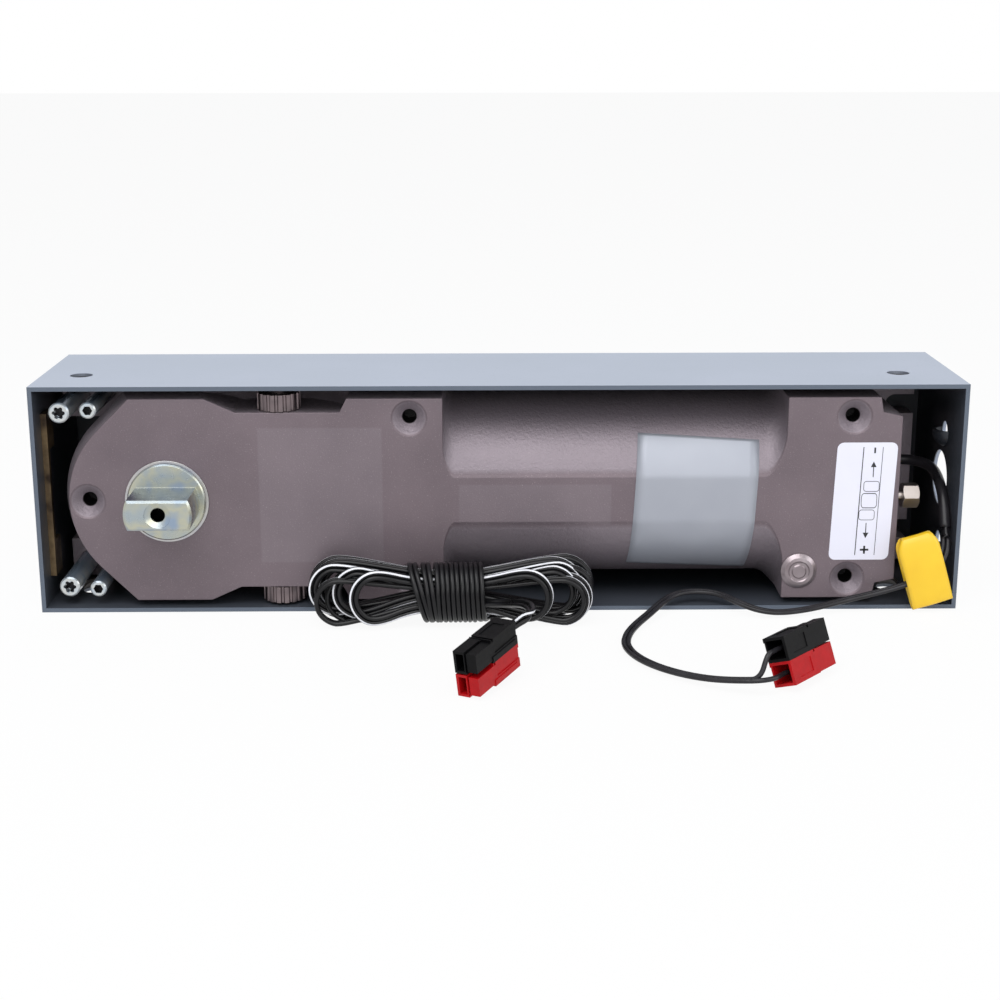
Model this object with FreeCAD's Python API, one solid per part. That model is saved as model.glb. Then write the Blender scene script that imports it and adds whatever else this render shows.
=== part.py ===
import FreeCAD, Part
import math
import os
from FreeCAD import Vector

# Electromagnetic floor spring door closer in its cement box, in millimetres.
# The box stands on a long side: X runs along it, Y goes from the open face to its
# bottom, Z is up, and the origin is the middle of the side that it stands on.
# The drive spindle points out of the open face, along -Y.

os.makedirs("parts", exist_ok=True)

# Cement box, folded from sheet
box_length = 324.0
box_height = 81.0
box_depth = 66.0
box_sheet = 1.5
box_bend_r = 2.0
cable_entry_r = 10.0
cable_entry_y = -6.0
lance_r = 4.2
lance_skin = 1.1
lance_sink = 1.0
end_lance_y = -9.0
end_lance_drop = 1.5
end_lance_pitch = 41.0
side_lance_left = 14.0
side_lance_right = 20.0
side_lance_y = -11.0
bracket_height = 59.0
bracket_width = 9.0
bracket_thick = 2.0
bracket_window = 33.0
bracket_rib = 2.4
bracket_set_back = 10.0

# Closer casting
face_set_back = 2.0
body_depth = 59.5
axis_height = 40.0
spindle_inset = 45.7
plate_reach = 96.4
block_length = 39.8
block_inset = 22.2
side_gap = 1.3
nose_step = 2.2
draft = 1.0
nose_flare = 2.8
draft_depth = 9.0
barrel_r = 34.0
barrel_strip = 16.0
barrel_fillet_left = 4.0
barrel_fillet_right = 7.0
notch_width = 6.8
notch_height = 6.8
notch_draft = 1.0
foot_inset = 7.0
foot_pad_offset = 12.0
foot_thick = 12.5
foot_slot_r = 3.6
foot_slot_inset = 12.0
foot_pad_r = 5.0
lug_inset = 3.5
lug_front_y = 3.0
lug_thick = 13.0
lug_height = 14.0

# Chambers and oil ways
bore_r = 22.0
bore_y = 1.0
bore_start = 22.3
chamber_wall = 2.3
chamber_front_y = -16.0
duct_r = 1.6
branch_r = 1.3
branch_offset = 12.0
duct_end = 3.0
filler_duct_length = 16.0
duct_set_back = 4.6
plug_r = 23.2
plug_length = 12.0
spigot_length = 9.0

# Cover screw holes in the face
screw_hole_r = 2.5
screw_hole_depth = 13.0
sink_r = 6.3
nose_screw_inset = 6.4
screw_left_inset = 11.5
screw_right_inset = 16.7
screw_row_inset = 6.9

# Side regulators in their pockets
regulator_offset = 39.3
regulator_y = -24.0
regulator_head_r = 7.5
regulator_head_h = 5.8
regulator_teeth = 16
regulator_shank_r = 2.9
regulator_depth = 16.0
pocket_depth = 4.8
pocket_r = 25.0
pocket_slope_left = 10.5
pocket_slope_right = 2.4

# Drive spindle with its heart cam
drive_length = 18.0
drive_width = 23.4
drive_thick = 10.6
drive_chamfer = 0.8
disc_r = 13.7
disc_proud = 1.9
disc_chamfer = 0.5
tapped_r = 2.5
tapped_depth = 14.0
tapped_sink_r = 4.5
tapped_sink_depth = 1.4
seal_r = 14.6
seal_depth = 4.0
seal_proud = 0.4
journal_r = 12.0
bearing_lip_r = 12.8
bearing_r = 17.5
bearing_width = 9.6
bearing_seat_r = 10.0
shaft_r = 9.5
cam_thick = 21.0
roller_r = 6.0
roller_centre = 16.0
lift_per_radian = 4.2
opening_angle = 120.0
cam_gap = 0.3
foot_journal_r = 8.0

# Yoke, rod and piston
plate_thick = 3.0
plate_gap = 0.5
plate_half = 16.5
yoke_reach = 37.3
yoke_head_length = 8.0
yoke_head_half = 14.0
pin_r = 2.5
rod_r = 6.0
rod_thread_r = 5.0
piston_inset = 93.8
piston_length = 24.0
piston_seal_width = 4.0
piston_seal_depth = 2.4
nut_flats = 17.0
nut_height = 8.0
check_offset = 13.0
check_ball_r = 2.4
check_seat_depth = 8.0

# Main spring and its seat
seat_offset = 50.3
seat_length = 6.0
spring_wire_r = 3.3
spring_mean_r = 16.5
spring_pitch = 13.25
snap_ring_depth = 1.2
snap_ring_width = 1.5

# Hold-open solenoid valve
carrier_inset = 47.8
carrier_length = 6.0
valve_port_r = 1.5
coil_inset = 36.8
coil_length = 15.6
coil_r = 19.0
coil_bore_r = 8.0
bobbin_flange = 1.2
armature_inset = 38.3
armature_length = 11.0
armature_r = 7.6
armature_travel = 2.0
needle_r = 1.9
needle_length = 3.2
core_r = 7.8

# Bottom cover and thrust bearing
cover_thick = 9.9
cover_pin_r = 3.0
cover_pin_offset = 22.0
ring_seal_r = 1.05
thrust_r = 13.0
thrust_washer = 1.5
thrust_roller_r = 1.0
thrust_rollers = 12
thrust_roller_length = 2.8
thrust_gap = 0.2
thrust_pocket_depth = 4.1
thrust_head_room = 2.2
foot_journal_end = 3.9

# Speed valve and filler plug
valve_shank_r = 2.2
valve_shank_length = 19.0
valve_needle_length = 8.0
valve_neck_r = 1.6
valve_neck_length = 2.0
valve_hex_flats = 8.0
valve_hex_length = 5.7
filler_inset = 34.0
filler_edge = 9.9
filler_head_r = 6.35
filler_head_h = 1.6
filler_shank_r = 3.9
filler_depth = 9.0

# Corner screws
clamp_screw_end = 9.7
clamp_screw_edge = 4.8
clamp_screw_r = 3.6
level_screw_end = 19.7
level_screw_edge = 4.0
level_screw_r = 2.9
screw_front_y = -30.5
clamp_socket_r = 2.2
level_socket_flats = 3.0
socket_depth = 4.0

# Lead, its gland and sleeve
gland_y = 3.0
gland_rise = 6.0
gland_r = 4.2
gland_length = 2.5
sleeve_r = 1.9
lead_r = 1.65
tail_r = 1.75

# Power connector housings
housing_length = 24.6
housing_side = 7.9
housing_front = 9.6
housing_wall = 1.0
housing_slot = 0.6
entry_depth = 9.0

# Hank of the supply lead and the flag on the lead
hank_length = 100.0
hank_height = 24.0
hank_thick = 19.0
hank_x = -17.0
hank_front = 13.8
hank_round = 8.5
flag_length = 27.0
flag_width = 14.5
flag_thick = 6.0
flag_sheet = 0.5
flag_inset = 13.0
flag_front = 3.0
flag_z = 15.4
flag_tilt = 17.0

# Where the two connector pairs lie in front of the box
lead_pair_place = (-61.0, -59.8, 0.3)
lead_pair_turn = 229.4
lead_pair_lean = 20.0
tail_pair_place = (9.9, -74.4, 0.5)
tail_pair_turn = 58.1
tail_pair_rise = 8.4
tail_pair_lean = -2.0

# Clearances
running = 0.05
seated = 0.03
apart = 0.3

# Levels that follow from the sizes above
open_y = -box_depth / 2
floor_y = box_depth / 2 - box_sheet
face_y = open_y + face_set_back
back_y = face_y + body_depth
axis_z = axis_height
half_length = box_length / 2
near_wall = min(axis_height, box_height - axis_height) - box_sheet
plate_half_width = near_wall - side_gap - draft
nose_r = plate_half_width - nose_step
chamber_r = nose_r - chamber_wall
spindle_x = spindle_inset - half_length
plate_end_x = spindle_x + plate_reach
block_end_x = half_length - block_inset
block_start_x = block_end_x - block_length
foot_end_x = half_length - foot_inset
lug_left_x = lug_inset - half_length
bore_left_x = spindle_x + bore_start
screw_left_x = plate_end_x - screw_left_inset
screw_right_x = block_end_x - screw_right_inset
regulator_x = spindle_x + regulator_offset
yoke_end_x = spindle_x + yoke_reach
piston_x = block_end_x - piston_inset
seat_x = spindle_x + seat_offset
carrier_x = block_end_x - carrier_inset
coil_x = block_end_x - coil_inset
armature_x = block_end_x - armature_inset
filler_x = block_end_x - filler_inset
filler_offset = plate_half_width - filler_edge
clamp_screw_x = clamp_screw_end - half_length
clamp_screw_offset = plate_half_width - clamp_screw_edge
level_screw_x = level_screw_end - half_length
level_screw_offset = plate_half_width - level_screw_edge
end_lance_z = axis_z - end_lance_drop
duct_y = face_y + duct_set_back
bore_end_x = block_end_x - plug_length
disc_front_y = face_y - disc_proud
drive_front_y = disc_front_y - drive_length
seal_back_y = face_y + seal_depth
bearing_front_y = chamber_front_y - bearing_width - apart
cam_front_y = bore_y - cam_thick / 2
cam_back_y = bore_y + cam_thick / 2
front_plate_y = cam_front_y - plate_gap - plate_thick
back_plate_y = cam_back_y + plate_gap
cover_front_y = back_y - cover_thick
thrust_top_y = back_plate_y + plate_thick + thrust_head_room
lift = lift_per_radian * math.radians(opening_angle)
rest_pin_x = spindle_x - roller_centre
pocket_floor = plate_half_width - pocket_depth

ALONG_X = Vector(1, 0, 0)
ALONG_Y = Vector(0, 1, 0)
ALONG_Z = Vector(0, 0, 1)


def rod_x(y, z, r, x0, x1):
    """A round bar along X."""
    return Part.makeCylinder(r, x1 - x0, Vector(x0, y, z), ALONG_X)


def rod_y(x, z, r, y0, y1):
    """A round bar along Y."""
    return Part.makeCylinder(r, y1 - y0, Vector(x, y0, z), ALONG_Y)


def rod_z(x, y, r, z0, z1):
    """A round bar along Z."""
    return Part.makeCylinder(r, z1 - z0, Vector(x, y, z0), ALONG_Z)


def block(x0, x1, y0, y1, z0, z1):
    """A rectangular block between two corners."""
    return Part.makeBox(x1 - x0, y1 - y0, z1 - z0, Vector(x0, y0, z0))


def join(shapes):
    """Fuses several solids into one."""
    first, *rest = shapes
    return first.fuse(rest).removeSplitter() if rest else first


def outline_xz(points, y):
    """A closed polygon in a plane across Y."""
    corners = [Vector(x, y, z) for x, z in points]
    return Part.makePolygon(corners + corners[:1])


def prism(wire, depth):
    """A flat outline across Y, pulled along Y."""
    return Part.Face(wire).extrude(Vector(0, depth, 0))


def turned(profile, centre, axis):
    """A solid of revolution: profile holds (radius, along) points from the axis line."""
    across = ALONG_Z if axis != ALONG_Z else ALONG_X
    corners = [centre + across * r + axis * a for r, a in profile]
    face = Part.Face(Part.makePolygon(corners + corners[:1]))
    return face.revolve(centre, axis, 360)


def hexagon(flats, length):
    """A hexagonal bar along Z with a corner on +X."""
    reach = flats / math.sqrt(3)
    corners = [Vector(reach * math.cos(math.radians(60 * i)), reach * math.sin(math.radians(60 * i)), 0)
               for i in range(7)]
    return Part.Face(Part.makePolygon(corners)).extrude(Vector(0, 0, length))


def star_recess(r, length):
    """A six-lobed socket along Z."""
    lobes = [Part.makeCylinder(r * 0.3, length, Vector(r * 0.72 * math.cos(math.radians(60 * i)),
                                                       r * 0.72 * math.sin(math.radians(60 * i)), 0))
             for i in range(6)]
    return join([Part.makeCylinder(r * 0.78, length)] + lobes)


def placed(shape, origin, direction):
    """Turns a solid made along Z to point along direction, from origin."""
    shape = shape.copy()
    shape.Placement = FreeCAD.Placement(origin, FreeCAD.Rotation(ALONG_Z, direction))
    return shape


def save(name, shape):
    """Writes one node and reports its volume."""
    if not shape.isValid():
        print("NOT VALID", name)
    shape.exportStep(f"parts/{name}.step")
    print(f"{name:28s} {len(shape.Solids):3d} solids {shape.Volume / 1000:9.3f} cm3")


def lanced_dome(centre, inward, open_side):
    """The dome that a lance leaves inside a wall, open on one side, and its hole."""
    middle = centre - inward * lance_sink
    outer = Part.makeSphere(lance_r + lance_skin, middle)
    inner = Part.makeSphere(lance_r, middle)
    reach = 4 * lance_r
    inside = placed(Part.makeBox(reach, reach, reach, Vector(-reach / 2, -reach / 2, 0)), centre, inward)
    kept = placed(Part.makeBox(reach, reach, reach, Vector(-reach / 2, -reach / 2, 0)),
                  centre + open_side * (lance_r * 0.25), open_side)
    shell = outer.cut(inner).common(inside).cut(kept)
    hole = placed(Part.makeCylinder(lance_r - 0.2, 2 * box_sheet), centre - inward * 1.5 * box_sheet, inward)
    return shell, hole


def cement_box():
    outer = block(-half_length, half_length, open_y, box_depth / 2, 0, box_height)
    bends = [e for e in outer.Edges if all(abs(v.Point.y - box_depth / 2) < 0.01 for v in e.Vertexes)]
    outer = outer.makeFillet(box_bend_r, bends)
    inner = block(-half_length + box_sheet, half_length - box_sheet, open_y - 1, floor_y,
                  box_sheet, box_height - box_sheet)
    shell = outer.cut(inner)
    shell = shell.cut(rod_x(cable_entry_y, axis_z + 1.5, cable_entry_r,
                            half_length - 2 * box_sheet, half_length + 1))
    ends = [(Vector(half_length - box_sheet, end_lance_y, end_lance_z + s * end_lance_pitch / 2),
             Vector(-1, 0, 0), ALONG_Z) for s in (-1, 1)]
    sides = []
    for x in (-half_length + side_lance_left, half_length - side_lance_right):
        sides.append((Vector(x, side_lance_y, box_height - box_sheet), Vector(0, 0, -1), Vector(0, -1, 0)))
        sides.append((Vector(x, side_lance_y, box_sheet), ALONG_Z, Vector(0, -1, 0)))
    for centre, inward, open_side in ends + sides:
        dome, hole = lanced_dome(centre, inward, open_side)
        shell = shell.cut(hole).fuse(dome)
    return shell.removeSplitter()


def end_bracket():
    """Stiffening strip on the left wall, with a window behind its front rib."""
    x0 = -half_length + box_sheet
    y0 = open_y + bracket_set_back
    low = axis_z - bracket_height / 2
    strip = block(x0, x0 + bracket_thick, y0, y0 + bracket_width, low, low + bracket_height)
    window = block(x0 - 1, x0 + bracket_thick + 1, y0 + bracket_rib, y0 + bracket_width + 1,
                   axis_z - bracket_window / 2, axis_z + bracket_window / 2)
    return strip.cut(window)


def housing_outline(r, half, y):
    """The plate's outline: round nose, two bevels at 45 degrees, straight sides."""
    diagonal = r * math.sqrt(0.5)
    tangent_x = spindle_x - diagonal
    corner_x = tangent_x + half - diagonal
    high = Vector(tangent_x, y, axis_z + diagonal)
    low = Vector(tangent_x, y, axis_z - diagonal)
    nose = Part.Arc(low, Vector(spindle_x - r, y, axis_z), high).toShape()
    corners = [high, Vector(corner_x, y, axis_z + half), Vector(plate_end_x, y, axis_z + half),
               Vector(plate_end_x, y, axis_z - half), Vector(corner_x, y, axis_z - half), low]
    sides = [Part.LineSegment(a, b).toShape() for a, b in zip(corners, corners[1:])]
    return Part.Wire([nose] + sides)


def barrel():
    """The cylinder tube: round, flared into plate and block, flat where the face cuts it."""
    centre_y = face_y + math.sqrt(barrel_r ** 2 - (barrel_strip / 2) ** 2)
    centre = Vector(0, centre_y, axis_z)

    def rim(x, r):
        return centre + Vector(x, 0, r)

    def flare(x0, x1, fillet):
        turn = fillet * (1 - math.sqrt(0.5))
        return Part.Arc(rim(x0, barrel_r + fillet), rim(x0 + (x1 - x0) * (1 - math.sqrt(0.5)), barrel_r + turn),
                        rim(x1, barrel_r)).toShape()

    left, right = plate_end_x, block_start_x
    flare_left = flare(left, left + barrel_fillet_left, barrel_fillet_left)
    flare_right = flare(right, right - barrel_fillet_right, barrel_fillet_right)
    lines = [Part.LineSegment(a, b).toShape() for a, b in (
        (rim(left, 0), rim(left, barrel_r + barrel_fillet_left)),
        (rim(left + barrel_fillet_left, barrel_r), rim(right - barrel_fillet_right, barrel_r)),
        (rim(right, barrel_r + barrel_fillet_right), rim(right, 0)),
        (rim(right, 0), rim(left, 0)))]
    profile = Part.Wire(Part.__sortEdges__([flare_left, flare_right] + lines))
    form = Part.Face(profile).revolve(centre, ALONG_X, 360)
    envelope = block(left, right, face_y, back_y, axis_z - plate_half_width, axis_z + plate_half_width)
    return form.common(envelope)


def end_block():
    """The square right end, notched at both corners, with its foot behind."""
    top, low = axis_z + plate_half_width, axis_z - plate_half_width
    step = block_end_x - notch_width
    outline = [(block_start_x, low), (step - notch_draft, low), (step, low + notch_height - 1.5),
               (block_end_x, low + notch_height), (block_end_x, top - notch_height),
               (step, top - notch_height + 1.5), (step - notch_draft, top), (block_start_x, top)]
    head = prism(outline_xz(outline, face_y), body_depth)
    foot = block(block_end_x - notch_width - notch_draft, foot_end_x, back_y - foot_thick, back_y, low, top)
    pads = [rod_y(foot_end_x - 8, axis_z + s * foot_pad_offset, foot_pad_r, back_y - 1, floor_y) for s in (-1, 1)]
    whole = join([head, foot] + pads)
    for s in (-1, 1):
        z = axis_z + s * (plate_half_width - foot_slot_inset)
        slot = join([rod_y(foot_end_x - 7, z, foot_slot_r, back_y - foot_thick - 1, floor_y + 1),
                     block(foot_end_x - 7, foot_end_x + 1, back_y - foot_thick - 1, floor_y + 1,
                           z - foot_slot_r, z + foot_slot_r)])
        whole = whole.cut(slot)
    return whole


def corner_lugs():
    """Cast ears at the left corners that take the corner screws."""
    ears = []
    for s in (-1, 1):
        tip = axis_z + s * (plate_half_width + draft)
        root = tip - s * lug_height
        ears.append(block(lug_left_x, spindle_x + 4, lug_front_y, lug_front_y + lug_thick,
                          min(tip, root), max(tip, root)))
    return ears


def regulator_pocket(s):
    """Spot-faced recess round one side regulator: flat floor, one long and one short slope."""
    floor, edge = pocket_floor, plate_half_width + draft + 1
    over = (edge - floor) / pocket_depth
    left, right = regulator_x - pocket_r, regulator_x - 1 + pocket_r
    outline = [(left + pocket_slope_left, axis_z + s * floor), (right - pocket_slope_right, axis_z + s * floor),
               (right - pocket_slope_right * (1 - over), axis_z + s * edge),
               (left + pocket_slope_left * (1 - over), axis_z + s * edge)]
    wedge = prism(outline_xz(outline, face_y - 1), 2 * pocket_r)
    low, high = sorted((axis_z + s * (floor - 1), axis_z + s * (edge + 1)))
    return wedge.common(rod_z(regulator_x - 1, face_y, pocket_r + 2, low, high))


def oil_ways():
    """Drillings from the piston chamber past the valves to the cam chamber."""
    branch_x = regulator_x - branch_offset
    inner = pocket_floor - regulator_depth
    ways = [rod_x(duct_y, axis_z, duct_r, branch_x - duct_end, block_end_x - valve_shank_length),
            rod_x(duct_y, axis_z, valve_shank_r + running, block_end_x - valve_shank_length, block_end_x + 1),
            rod_y(branch_x, axis_z, branch_r, duct_y, bore_y - bore_r + 2),
            rod_y(block_start_x - 4, axis_z, branch_r, duct_y, bore_y - bore_r + 2),
            rod_z(regulator_x, regulator_y, branch_r, axis_z - inner, axis_z + inner)]
    for s in (-1, 1):
        seat = axis_z + s * (pocket_floor + 1)
        bottom = axis_z + s * inner
        ways.append(rod_z(regulator_x, regulator_y, regulator_shank_r + running, min(bottom, seat), max(bottom, seat)))
    return ways


def closer_body():
    front = housing_outline(nose_r, plate_half_width, face_y)
    rear = housing_outline(nose_r + nose_flare, plate_half_width + draft, face_y + draft_depth)
    plate = Part.makeLoft([front, rear], True, True)
    depth = prism(rear, back_y - face_y - draft_depth)
    body = join([plate, depth, barrel(), end_block()] + corner_lugs())

    cuts = [rod_x(bore_y, axis_z, bore_r, bore_left_x, bore_end_x),
            rod_x(bore_y, axis_z, plug_r, bore_end_x, block_end_x + 1),
            rod_x(bore_y, axis_z, bore_r + snap_ring_depth, seat_x - snap_ring_width, seat_x),
            rod_y(spindle_x, axis_z, chamber_r, chamber_front_y, back_y + 1),
            rod_y(spindle_x, axis_z, bearing_r + seated, bearing_front_y, chamber_front_y + 1),
            rod_y(spindle_x, axis_z, bearing_lip_r, face_y - 1, chamber_front_y),
            rod_y(spindle_x, axis_z, seal_r + seated, face_y - 1, seal_back_y)]
    cuts += oil_ways()
    cuts += [regulator_pocket(s) for s in (-1, 1)]
    for x, z in cover_screw_places():
        cuts.append(rod_y(x, z, screw_hole_r, face_y - 1, face_y + screw_hole_depth))
        cuts.append(turned([(0, -1), (sink_r + 1, -1), (screw_hole_r, sink_r - screw_hole_r),
                            (0, sink_r - screw_hole_r)], Vector(x, face_y, z), ALONG_Y))
    filler_z = axis_z - filler_offset
    cuts.append(rod_y(filler_x, filler_z, filler_shank_r + seated, face_y - 1, face_y + filler_depth + 1))
    cuts.append(Part.makeCylinder(branch_r, filler_duct_length, Vector(filler_x, face_y + filler_depth, filler_z), Vector(0, 2, 1)))
    for s in (-1, 1):
        cuts.append(rod_y(clamp_screw_x, axis_z + s * clamp_screw_offset, clamp_screw_r + running, lug_front_y - 1,
                          lug_front_y + lug_thick + 1))
        cuts.append(rod_y(level_screw_x, axis_z + s * level_screw_offset, level_screw_r + running, lug_front_y - 1,
                          floor_y))
    for cut in cuts:
        body = body.cut(cut)
    keep = block(-half_length + box_sheet + 0.5, half_length, face_y - 1, floor_y,
                 box_sheet + 0.5, box_height - box_sheet - 0.5)
    return body.common(keep).removeSplitter()


def cover_screw_places():
    """The five countersunk holes that hold the floor plate."""
    places = [(spindle_x - nose_r + nose_screw_inset, axis_z)]
    for x in (screw_left_x, screw_right_x):
        places += [(x, axis_z + s * (plate_half_width - screw_row_inset)) for s in (-1, 1)]
    return places


def cam_profile(y):
    """Heart cam outline: a roller on it moves in proportion to the angle, both ways from a notch."""
    reach = roller_r + cam_gap
    half_turn = math.radians(opening_angle)

    def flank(angle, side):
        r = roller_centre + lift_per_radian * angle
        slope = math.hypot(r, lift_per_radian)
        radial = r - reach * r / slope
        lag = reach * lift_per_radian / slope
        a = math.pi - side * angle
        return Vector(spindle_x + radial * math.cos(a) + side * lag * math.sin(a), y,
                      axis_z + radial * math.sin(a) - side * lag * math.cos(a))

    steps = [half_turn * i / 12 for i in range(13)]
    flanks = []
    for side in (-1, 1):
        curve = Part.BSplineCurve()
        curve.interpolate([flank(a, side) for a in steps])
        flanks.append(curve.toShape())
    notch = Part.Arc(flank(0, -1), Vector(rest_pin_x + reach, y, axis_z), flank(0, 1)).toShape()
    back_r = (flank(half_turn, 1) - Vector(spindle_x, y, axis_z)).Length
    back = Part.Arc(flank(half_turn, -1), Vector(spindle_x + back_r, y, axis_z), flank(half_turn, 1)).toShape()
    return Part.Wire(Part.__sortEdges__(flanks + [notch, back]))


def spindle():
    centre = Vector(spindle_x, 0, axis_z)
    drive = rod_y(spindle_x, axis_z, drive_width / 2, drive_front_y, disc_front_y + 0.5)
    drive = drive.common(block(spindle_x - drive_width, spindle_x + drive_width, drive_front_y - 1, disc_front_y + 1,
                               axis_z - drive_thick / 2, axis_z + drive_thick / 2))
    rim = [e for e in drive.Edges if all(abs(v.Point.y - drive_front_y) < 0.01 for v in e.Vertexes)]
    drive = drive.makeChamfer(drive_chamfer, rim)
    collar_y = face_y - seal_proud - 0.2
    shaft = turned([(0, disc_front_y), (disc_r - disc_chamfer, disc_front_y), (disc_r, disc_front_y + disc_chamfer),
                    (disc_r, collar_y), (journal_r, collar_y), (journal_r, bearing_front_y),
                    (bearing_seat_r, bearing_front_y), (bearing_seat_r, chamber_front_y), (shaft_r, chamber_front_y),
                    (shaft_r, thrust_top_y), (foot_journal_r, thrust_top_y),
                    (foot_journal_r, cover_front_y + thrust_pocket_depth + foot_journal_end), (0, cover_front_y + thrust_pocket_depth + foot_journal_end)],
                   centre, ALONG_Y)
    cam = prism(cam_profile(cam_front_y), cam_thick)
    whole = join([drive, shaft, cam])
    whole = whole.cut(rod_y(spindle_x, axis_z, tapped_r, drive_front_y - 1, drive_front_y + tapped_depth))
    sink = turned([(0, -1), (tapped_sink_r, -1), (tapped_sink_r, tapped_sink_depth * 0.3),
                   (tapped_r, tapped_sink_depth), (0, tapped_sink_depth)],
                  Vector(spindle_x, drive_front_y, axis_z), ALONG_Y)
    return whole.cut(sink)


def shaft_seal():
    """Lip seal with its steel rim just proud of the face."""
    return turned([(journal_r + 0.1, seal_depth - 1), (journal_r + 1, seal_depth - 0.2), (seal_r, seal_depth - 0.2),
                   (seal_r, -seal_proud), (disc_r - 0.4, -seal_proud), (journal_r + 1, 0.6), (journal_r + 0.1, 1)],
                  Vector(spindle_x, face_y, axis_z), ALONG_Y)


def bearing_ring(inner, outer, y0, y1):
    edge = 0.6
    return turned([(inner, y0), (outer - edge, y0), (outer, y0 + edge), (outer, y1 - edge), (outer - edge, y1),
                   (inner, y1)], Vector(spindle_x, 0, axis_z), ALONG_Y)


def yoke_plate(y):
    """One slotted plate of the yoke, round the roller pin at its left end."""
    nose = 6.0
    wide_x = rest_pin_x + 11
    outline = [(rest_pin_x - nose * 0.2, axis_z + nose), (wide_x, axis_z + plate_half),
               (yoke_end_x, axis_z + plate_half), (yoke_end_x, axis_z - plate_half),
               (wide_x, axis_z - plate_half), (rest_pin_x - nose * 0.2, axis_z - nose)]
    plate = prism(outline_xz(outline, y), plate_thick).fuse(rod_y(rest_pin_x, axis_z, nose, y, y + plate_thick))
    slot_r = shaft_r + 0.4
    slot = join([rod_y(spindle_x, axis_z, slot_r, y - 1, y + plate_thick + 1),
                 rod_y(spindle_x + lift, axis_z, slot_r, y - 1, y + plate_thick + 1),
                 block(spindle_x, spindle_x + lift, y - 1, y + plate_thick + 1, axis_z - slot_r, axis_z + slot_r)])
    hole = rod_y(rest_pin_x, axis_z, pin_r + seated, y - 1, y + plate_thick + 1)
    return plate.cut(slot).cut(hole).removeSplitter()


def yoke_head():
    """Cross piece between the plates, tapped for the rod."""
    head = block(yoke_end_x - yoke_head_length, yoke_end_x, front_plate_y + plate_thick, back_plate_y,
                 axis_z - yoke_head_half, axis_z + yoke_head_half)
    return head.cut(rod_x(bore_y, axis_z, rod_thread_r + seated, yoke_end_x - yoke_head_length - 1, yoke_end_x + 1))


def pull_rod():
    thread_end = piston_x + piston_length + nut_height + 2
    return turned([(0, yoke_end_x - yoke_head_length), (rod_thread_r, yoke_end_x - yoke_head_length),
                   (rod_thread_r, yoke_end_x), (rod_r, yoke_end_x), (rod_r, piston_x), (rod_thread_r, piston_x),
                   (rod_thread_r, thread_end - 1), (rod_thread_r - 1, thread_end), (0, thread_end)],
                  Vector(0, bore_y, axis_z), ALONG_X)


def piston():
    end = piston_x + piston_length
    groove = piston_x + piston_length / 2 - piston_seal_width / 2
    r = bore_r - running
    form = turned([(rod_thread_r + seated, piston_x), (r - 1.2, piston_x), (r, piston_x + 1.2), (r, groove),
                   (r - piston_seal_depth, groove), (r - piston_seal_depth, groove + piston_seal_width),
                   (r, groove + piston_seal_width), (r, end - 1.2), (r - 1.2, end), (rod_thread_r + seated, end)],
                  Vector(0, bore_y, axis_z), ALONG_X)
    z = axis_z + check_offset
    passage = rod_x(bore_y, z, duct_r, piston_x - 1, end + 1)
    cage = rod_x(bore_y, z, check_ball_r + 0.5, piston_x + check_seat_depth, end + 1)
    return form.cut(passage).cut(cage)


def piston_seal():
    groove = piston_x + piston_length / 2 - piston_seal_width / 2
    r = bore_r - running
    return turned([(r - piston_seal_depth, groove), (r, groove), (r, groove + piston_seal_width),
                   (r - piston_seal_depth, groove + piston_seal_width)], Vector(0, bore_y, axis_z), ALONG_X)


def check_ball():
    """Ball of the check valve, turned in ten bands."""
    angles = [math.pi * i / 10 for i in range(11)]
    x = piston_x + check_seat_depth + check_ball_r + apart
    return turned([(check_ball_r * math.sin(a), -check_ball_r * math.cos(a)) for a in angles],
                  Vector(x, bore_y, axis_z + check_offset), ALONG_X)


def check_bush():
    """Drilled bush that keeps the check ball in the piston."""
    z = axis_z + check_offset
    end = piston_x + piston_length
    bush = rod_x(bore_y, z, check_ball_r + 0.5 - seated, end - 6, end)
    return bush.cut(rod_x(bore_y, z, duct_r, end - 7, end + 1))


def rod_nut():
    x = piston_x + piston_length
    nut = placed(hexagon(nut_flats, nut_height), Vector(x, bore_y, axis_z), ALONG_X)
    return nut.cut(rod_x(bore_y, axis_z, rod_thread_r + seated, x - 1, x + nut_height + 1))


def mainspring():
    """Compression spring, its two end faces ground flat."""
    left, right = seat_x + seat_length, piston_x
    helix = Part.makeHelix(spring_pitch, right - left + 2 * spring_wire_r, spring_mean_r)
    start = Vector(spring_mean_r, 0, 0)
    sides = [2 * math.pi * i / 8 for i in range(9)]
    section = Part.Wire(Part.makePolygon([start + Vector(
        spring_wire_r * math.cos(a), 0, spring_wire_r * math.sin(a)) for a in sides]))
    coil = Part.Wire(helix).makePipeShell([section], True, True)
    coil = placed(coil, Vector(left - spring_wire_r, bore_y, axis_z), ALONG_X)
    return coil.common(rod_x(bore_y, axis_z, bore_r, left, right))


def spring_seat():
    return turned([(rod_r + 0.5, 0), (bore_r - seated, 0), (bore_r - seated, 2.5), (spring_mean_r - 3.8, 2.5),
                   (spring_mean_r - 3.8, seat_length), (rod_r + 0.5, seat_length)],
                  Vector(seat_x, bore_y, axis_z), ALONG_X)


def snap_ring():
    """Split ring in the bore groove that takes the spring's push."""
    r = bore_r + snap_ring_depth
    ring = rod_x(bore_y, axis_z, r, seat_x - snap_ring_width, seat_x)
    ring = ring.cut(rod_x(bore_y, axis_z, bore_r - 2.4, seat_x - snap_ring_width - 1, seat_x + 1))
    return ring.cut(block(seat_x - 5, seat_x + 5, bore_y - 4, bore_y + 4, axis_z, axis_z + 2 * r))


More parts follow.
